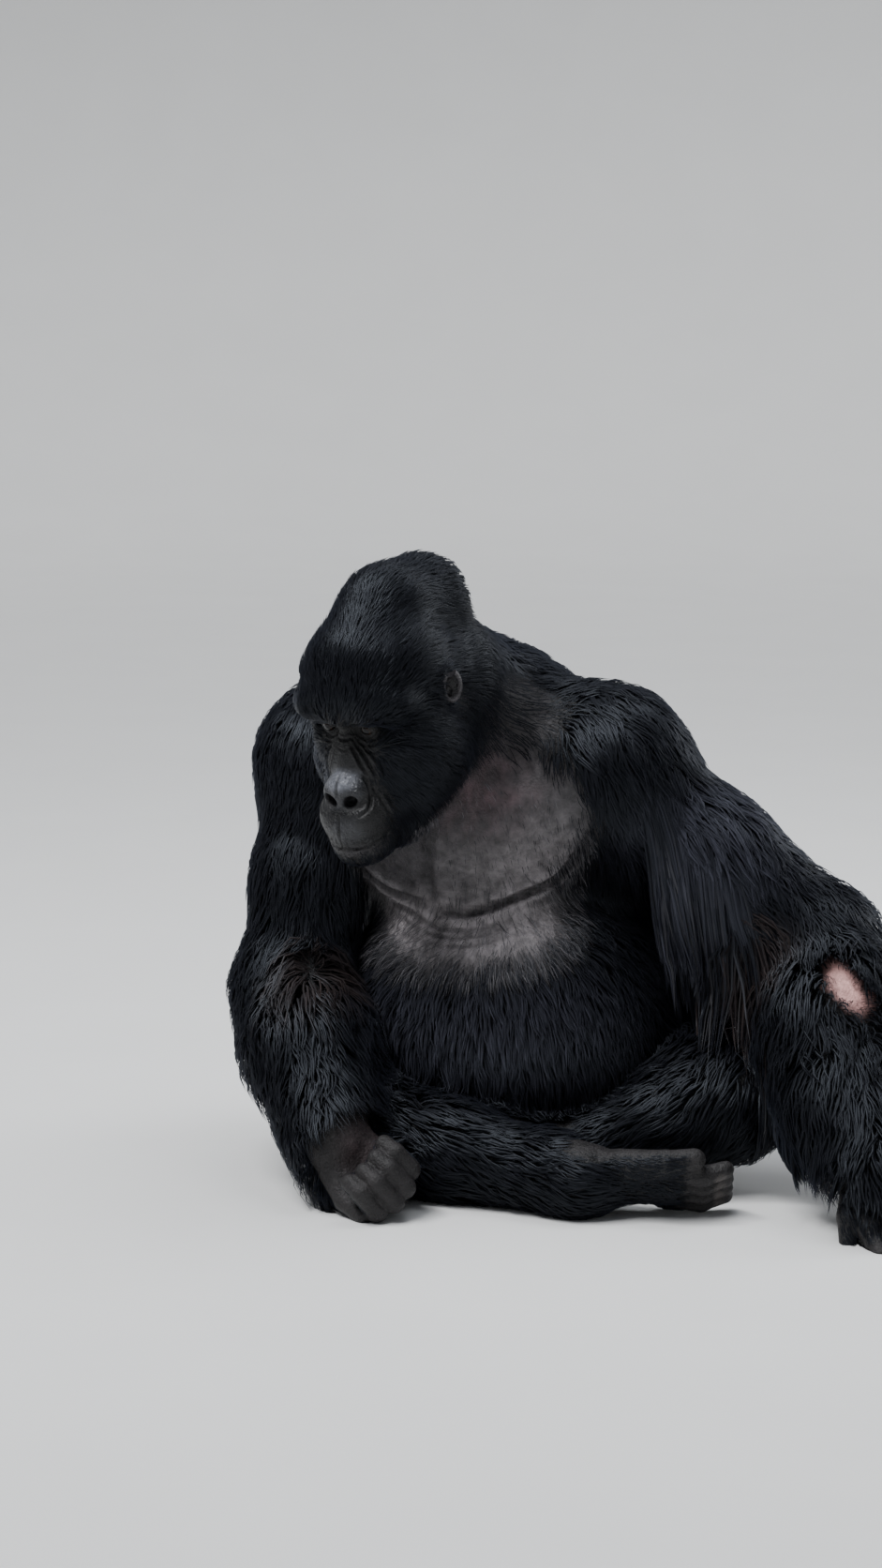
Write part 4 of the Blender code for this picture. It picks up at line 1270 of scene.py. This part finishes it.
def chart_round(points, line):
    """Angle round a line and distance along it, both from 0 to 1."""
    best = np.full(len(points), 1e3)
    around = np.zeros(len(points))
    along = np.zeros(len(points))
    passed = 0.0
    for i in range(len(line) - 1):
        span = np.linalg.norm(line[i + 1] - line[i])
        axis = (line[i + 1] - line[i]) / span
        side = unit(np.cross(axis, (0.0, 1.0, 0.3)))
        reach = (points - line[i]) @ axis
        reach = np.clip(reach, 0.0 if i > 0 else -np.inf, span if i < len(line) - 2 else np.inf)
        offset = points - line[i] - reach[:, None] * axis
        away = np.linalg.norm(offset, axis=1)
        closer = away < best
        best[closer] = away[closer]
        angle = np.arctan2(offset @ side, offset @ np.cross(axis, side)) / (2.0 * pi) + 0.5
        around[closer] = angle[closer]
        along[closer] = passed + reach[closer]
        passed += span
    return np.stack([around, (along - along.min()) / np.ptp(along)], axis=1).clip(0.0, 1.0)


BLACK_HAIR = rgb(0.0046, 0.0047, 0.0062)
BROWN_HAIR = rgb(0.0300, 0.0190, 0.0140)
DOWN_HAIR = rgb(0.0700, 0.0670, 0.0710)
GREY_HAIR = rgb(0.1000, 0.0980, 0.1020)
SILVER_HAIR = rgb(0.2300, 0.2250, 0.2250)
GREY_TIPS = 0.22         # share of the hanging locks whose tips are grey


def brightness(rng, spread, count):
    return np.exp(spread * rng.standard_normal(count).clip(-2.0, 2.0))[:, None]


def hair_colours(points, rng):
    """Black, brown in the elbows, silver on the back, grey on the thighs; lighter on the paunch and the left
    upper arm as painted highlight.
    """
    spot = spots_of(points, BODY)
    count = len(points)
    elbows = most(spot(ELBOW_WHORL_L, (60, 50, 60), 0.6), spot((-178, -370, 305), (40, 60, 60), 0.6))
    thighs = most(*(spot((220 * side, 40, 160), (100, 120, 90), 0.5) for side in (1, -1)))
    layers = [
        (BROWN_HAIR, 0.40 * elbows),
        (SILVER_HAIR, spot((0, 200, 360), (240, 170, 250), 0.35) * rng.uniform(0.25, 0.85, count)),
        (GREY_HAIR, thighs * rng.uniform(0.1, 0.6, count)),
        # painted highlight: the paunch lighter where the light from above falls on it
        (BLACK_HAIR * 5.0, spot((60, -270, 250), (190, 130, 85), 0.55)),
        # painted highlight: the front of the left upper arm lighter where the light falls on it
        (BLACK_HAIR * 4.6, spot((330, -145, 530), (110, 90, 90), 0.50)),
    ]
    return layered(BLACK_HAIR, layers, count) * brightness(rng, 0.30, count)


skin_mesh.calc_loop_triangles()
skin_triangles = read(skin_mesh.loop_triangles, "vertices", 3, np.int32)
middles = on_skin.points[skin_triangles].mean(axis=1)
facing = on_skin.normals[skin_triangles].mean(axis=1)
chain_of = labels(middles)
on_trunk = chain_of == TRUNK
on_head = on_trunk & near(HEAD, (0, 110, 0), (145, 185, 205))(middles)
on_body = on_trunk & ~on_head
behind = on_body & ((facing[:, 1] > 0.25) | (middles[:, 2] > 0.62) | (middles[:, 1] > 0.02))
breast = on_body & near(BODY, (10, -280, 460), (260, 150, 150))(middles)
under_arm = (chain_of == CHAINS.index("arm_l")) & (middles[:, 0] > 0.270) & (middles[:, 0] < 0.560)
under_arm &= facing[:, 2] < 0.20

# what grows where, and the line that its chart goes round
SPINE = metres(((0, 0, 0), (0, -40, 350), (-40, -80, 620), (-50, -200, 760)))
SKULL = [HEAD(p) for p in ((0, -60, -120), (0, 60, 0), (0, 230, 80))]
regions = [
    (Kind("head", 0.0032, 0.032, 0.0024, 2, 0.35, 0.010), on_head, SKULL),
    (Kind("back", 0.0065, 0.055, 0.0038, 3, 0.45, 0.020), behind, SPINE),
    (Kind("belly", 0.0050, 0.045, 0.0028, 3, 0.55, 0.014), on_body & ~behind, SPINE),
]
for number, (chain, limb) in enumerate(LIMBS.items()):
    mine = chain_of == number + 1
    outer = limb.end.local(middles)[:, 0] > 0.025
    kind = Kind(chain, 0.0060, 0.050, 0.0034, 3, 0.50, 0.020, 0.10)
    if chain.startswith("arm"):
        kind = Kind(chain, 0.0055, 0.070, 0.0034, 3, 0.55, 0.022, 0.20, sag=0.6)
    short_name = chain.replace("arm", "hand").replace("leg", "foot")
    short = Kind(short_name, 0.0040, 0.018, 0.0022, 2, 0.30, 0.012)
    regions.append((kind, mine & ~outer, metres(limb.joints)))
    regions.append((short, mine & outer, (limb.end.at, limb.end((200, 0, 0)))))
regions.append((Kind("fringe", 0.0040, 0.200, 0.0040, 5, 0.75, 0.018, 0.10, 0.10, hang=1.0), under_arm,
                metres(LIMBS["arm_l"].joints)))
regions.append((Kind("breast", 0.0042, 0.024, 0.0009, 2, 0.20, 0.010, down=True), breast, SPINE))

coat = []
for number, (kind, wanted, line) in enumerate(regions):
    rng = np.random.default_rng(SEED + number)
    roots = rooted(kind, wanted, rng)
    count = len(roots.points)
    centres, outs = grown(kind, roots, rng)
    centres = clumped(kind, centres, rng)
    chart = chart_round(roots.points, line)
    tones = hair_colours(roots.points, rng)
    slim = 1.0 - 0.62 * smooth_step(roots.bare, 0.03, 0.40)
    if kind.down:
        slim = np.ones(count)
        tones = DOWN_HAIR * brightness(rng, 0.45, count)
    grey = 0.5 * (rng.random(count) < GREY_TIPS) if kind.hang else np.zeros(count)
    tips = mixed(tones, GREY_HAIR, grey)
    parts = int(np.ceil(count * len(lock_faces(kind.rings)) / PIECE_LIMIT))
    for part, rows in enumerate(np.array_split(np.argsort(chart[:, 1]), parts)):
        name = "fur_" + kind.name + ("_%d" % (part + 1) if parts > 1 else "")
        mesh = tuft_mesh(name, kind, centres[rows], outs[rows], chart[rows], tones[rows], tips[rows],
                         slim[rows], rng)
        coat.append(in_scene(name, mesh))


# ---------------- eyes
def eyeball(name, side):
    """An eyeball with a bulging cornea, turned the way the animal looks."""
    radius = EYE_R / 1000.0
    bm = bmesh.new()
    bmesh.ops.create_uvsphere(bm, u_segments=48, v_segments=32, radius=radius)
    for v in bm.verts:
        if v.co.z > 0.0:
            v.co *= 1.0 + 0.075 * max(0.0, 1.0 - (np.hypot(v.co.x, v.co.y) / (0.55 * radius)) ** 2)
    mesh = bpy.data.meshes.new("eyeball")
    bm.to_mesh(mesh)
    bm.free()
    mesh.shade_smooth()
    eye = in_scene(name, mesh)
    eye.location = HEAD((EYE_X * side, EYE_Y, EYE_Z))
    gaze = HEAD.turn @ unit((0.06 * side + 0.10, -1.0, -0.10))
    eye.rotation_euler = Vector(gaze).to_track_quat("Z", "Y").to_euler()
    return eye


# ---------------- materials
class Shader:
    """A material; each input of its nodes is a value, or the (node, output) that feeds it."""

    def __init__(self, name):
        self.material = bpy.data.materials.new(name)
        self.material.use_nodes = True
        self.tree = self.material.node_tree

    def feed(self, node, inputs):
        for key, value in inputs.items():
            if isinstance(value, tuple) and isinstance(value[1], str):
                self.tree.links.new(value[0].outputs[value[1]], node.inputs[key])
            else:
                node.inputs[key].default_value = value

    def node(self, kind, inputs=None, **settings):
        made = self.tree.nodes.new("ShaderNode" + kind)
        for key, value in settings.items():
            setattr(made, key, value)
        self.feed(made, inputs or {})
        return made

    def ramp(self, source, stops):
        made = self.node("ValToRGB", {"Fac": source})
        elements = made.color_ramp.elements
        for i, (position, colour) in enumerate(stops):
            stop = elements[i] if i < 2 else elements.new(position)
            stop.position = position
            stop.color = (*colour, 1.0)
        return made, "Color"

    def finished(self, inputs):
        self.feed(self.tree.nodes["Principled BSDF"], inputs)
        return self.material


def fur_material():
    """Black hair with a cool gloss; fine strands run along each lock."""
    fur = Shader("fur")
    tone = fur.node("Attribute", attribute_name="paint")
    chart = fur.node("UVMap", uv_map="OFBake")
    stretch = fur.node("Mapping", {"Vector": (chart, "UV"), "Scale": (1300.0, 160.0, 1.0)})
    strands = fur.node("TexNoise", {"Vector": (stretch, "Vector"), "Scale": 1.0, "Detail": 2.0,
                                    "Roughness": 0.6})
    bump = fur.node("Bump", {"Strength": 0.35, "Distance": 0.0006, "Height": (strands, "Fac")})
    return fur.finished({
        "Base Color": (tone, "Color"), "Normal": (bump, "Normal"), "Roughness": 0.40,
        "Specular IOR Level": 0.16, "Specular Tint": (0.78, 0.87, 1.00, 1.0),
        "Sheen Weight": 0.05, "Sheen Roughness": 0.45, "Sheen Tint": (0.62, 0.72, 1.0, 1.0)})


def skin_material():
    """Dark leathery skin with pores and crossing wrinkles."""
    hide = Shader("skin")
    tone = hide.node("Attribute", attribute_name="paint")
    place = (hide.node("TexCoord"), "Object")
    blotch = hide.node("TexNoise", {"Vector": place, "Scale": 60.0, "Detail": 5.0, "Roughness": 0.62})
    shade = hide.node("MapRange", {"Value": (blotch, "Fac"), "From Min": 0.30, "From Max": 0.70,
                                   "To Min": 0.55, "To Max": 1.45})
    scaled = hide.node("VectorMath", {0: (tone, "Color"), "Scale": (shade, "Result")}, operation="SCALE")
    pores = hide.node("TexVoronoi", {"Vector": place, "Scale": 300.0})
    wrinkles = hide.node("TexNoise", {"Vector": place, "Scale": 170.0, "Detail": 4.0, "Roughness": 0.65})
    moist = (hide.node("Attribute", attribute_name="gloss"), "Fac")
    calm = hide.node("MapRange", {"Value": moist, "To Min": 0.90, "To Max": 0.60})
    pitted = hide.node("Bump", {"Strength": 0.60, "Distance": 0.0012, "Height": (pores, "Distance")})
    creased = hide.node("Bump", {"Strength": (calm, "Result"), "Distance": 0.0032,
                                 "Height": (wrinkles, "Fac"), "Normal": (pitted, "Normal")})
    dull = hide.node("MapRange", {"Value": moist, "To Min": 0.58, "To Max": 0.18})
    uneven = hide.node("Math", {0: (blotch, "Fac"), 1: 0.16, 2: (dull, "Result")}, operation="MULTIPLY_ADD")
    return hide.finished({"Base Color": (scaled, "Vector"), "Normal": (creased, "Normal"),
                          "Roughness": (uneven, "Value"), "Specular IOR Level": 0.34})


def eye_material():
    """Black pupil, brown iris with fine rays, dark rim and brown white; their dark browns are partly the
    eye's own colour and partly painted shade under the brow.
    """
    eye = Shader("eye")
    place = (eye.node("TexCoord"), "Object")
    split = eye.node("SeparateXYZ", {"Vector": place})
    height = eye.node("Math", {0: (split, "Z"), 1: EYE_R / 1000.0}, operation="DIVIDE")
    rays = eye.node("TexNoise", {"Vector": place, "Scale": 900.0, "Detail": 3.0})
    shift = eye.node("Math", {0: (rays, "Fac"), 1: 0.02, 2: (height, "Value")}, operation="MULTIPLY_ADD")
    ramp = eye.ramp((shift, "Value"), (
        (0.0, (0.0070, 0.0045, 0.0040)), (0.86, (0.0060, 0.0038, 0.0032)), (0.875, (0.003, 0.002, 0.002)),
        (0.905, (0.009, 0.004, 0.002)), (0.975, (0.016, 0.007, 0.003)), (0.985, (0.002, 0.002, 0.002))))
    return eye.finished({"Base Color": ramp, "Roughness": 0.10, "Specular IOR Level": 0.22})


FUR = fur_material()
SKIN = skin_material()
EYE = eye_material()
skin_mesh.materials.append(SKIN)
for piece in coat:
    piece.data.materials.append(FUR)
eyes = [eyeball("eyeball_l", 1), eyeball("eyeball_r", -1)]
for eye in eyes:
    eye.data.materials.append(EYE)


# ---------------- the frame
FLESH = [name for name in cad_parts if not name.startswith("eye_")]
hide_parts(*FLESH)
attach(skin, "root")
for piece in coat:
    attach(piece, "root")
for eye, name in zip(eyes, ("eye_l", "eye_r")):
    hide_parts(name)
    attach(eye, "root")


# ---------------- floor, lights and camera
FLAT = 9.0               # radius of the level floor
BEND = 3.0               # radius of the curve that ends it
WALL = 2.0               # height of the wall above the curve
FLAT_RINGS = 6
BEND_RINGS = 10
TURNS = 64


def backdrop():
    """A wide round pale floor whose edge curves up into a low wall."""
    profile = [(FLAT * i / FLAT_RINGS, 0.0) for i in range(1, FLAT_RINGS + 1)]
    for i in range(1, BEND_RINGS + 1):
        angle = i * pi / (2 * BEND_RINGS)
        profile.append((FLAT + BEND * sin(angle), BEND * (1.0 - cos(angle))))
    profile.append((FLAT + BEND, BEND + WALL))
    points = [(0.0, 0.0, 0.0)]
    for radius, height in profile:
        for i in range(TURNS):
            angle = 2.0 * pi * i / TURNS
            points.append((radius * cos(angle), radius * sin(angle), height))
    faces = [(0, 1 + i, 1 + (i + 1) % TURNS) for i in range(TURNS)]
    for start in range(1, 1 + (len(profile) - 1) * TURNS, TURNS):
        for i in range(TURNS):
            j = (i + 1) % TURNS
            faces.append((start + i, start + TURNS + i, start + TURNS + j, start + j))
    mesh = bpy.data.meshes.new("floor")
    mesh.from_pydata(points, [], faces)
    mesh.shade_smooth()
    floor = in_scene("floor", mesh)
    paper = Shader("floor")
    place = (paper.node("TexCoord"), "Object")
    grain = paper.node("TexNoise", {"Vector": place, "Scale": 3.0, "Detail": 4.0})
    pale = paper.ramp((grain, "Fac"), ((0.0, (0.70, 0.70, 0.69)), (1.0, (0.75, 0.75, 0.74))))
    mesh.materials.append(paper.finished({"Base Color": pale, "Roughness": 0.85}))


def aimed(name, data, at, aim):
    made = in_scene(name, data)
    made.location = at
    made.rotation_euler = (Vector(aim) - Vector(at)).to_track_quat("-Z", "Y").to_euler()
    return made


def light(name, kind, power, colour, at, aim, **shape):
    data = bpy.data.lights.new(name, kind)
    data.energy = power
    data.color = colour
    for key, value in shape.items():
        setattr(data, key, value)
    aimed(name, data, at, aim)


def studio():
    light("high_light", "SUN", 2.6, (0.97, 0.98, 1.00), (0, 0, 0), (0.15, 0.48, -1.0), angle=radians(28.0))
    for name, power, colour, at, aim, size in (
            ("key_light", 100, (0.97, 0.98, 1.00), (-1.7, -1.8, 4.2), (0.0, -0.2, 0.5), 1.0),
            ("top_light", 66, (0.92, 0.95, 1.00), (0.4, 0.4, 3.8), (0.0, -0.1, 0.4), 2.4),
            ("rim_light", 46, (0.95, 0.97, 1.00), (2.4, 2.2, 2.6), (0.0, -0.1, 0.5), 1.6)):
        light(name, "AREA", power, colour, at, aim, shape="DISK", size=size)
    world = bpy.data.worlds.new("studio")
    world.use_nodes = True
    sky = world.node_tree.nodes["Background"]
    sky.inputs["Color"].default_value = (0.78, 0.83, 0.92, 1.0)
    sky.inputs["Strength"].default_value = 0.24
    bpy.context.scene.world = world


def camera():
    lens = bpy.data.cameras.new("camera")
    lens.lens = 85.0
    lens.sensor_width = 36.0
    bpy.context.scene.camera = aimed("camera", lens, (2.3518, -5.1167, 1.4437), (-0.1161, -0.0566, 0.5521))


backdrop()
studio()
camera()
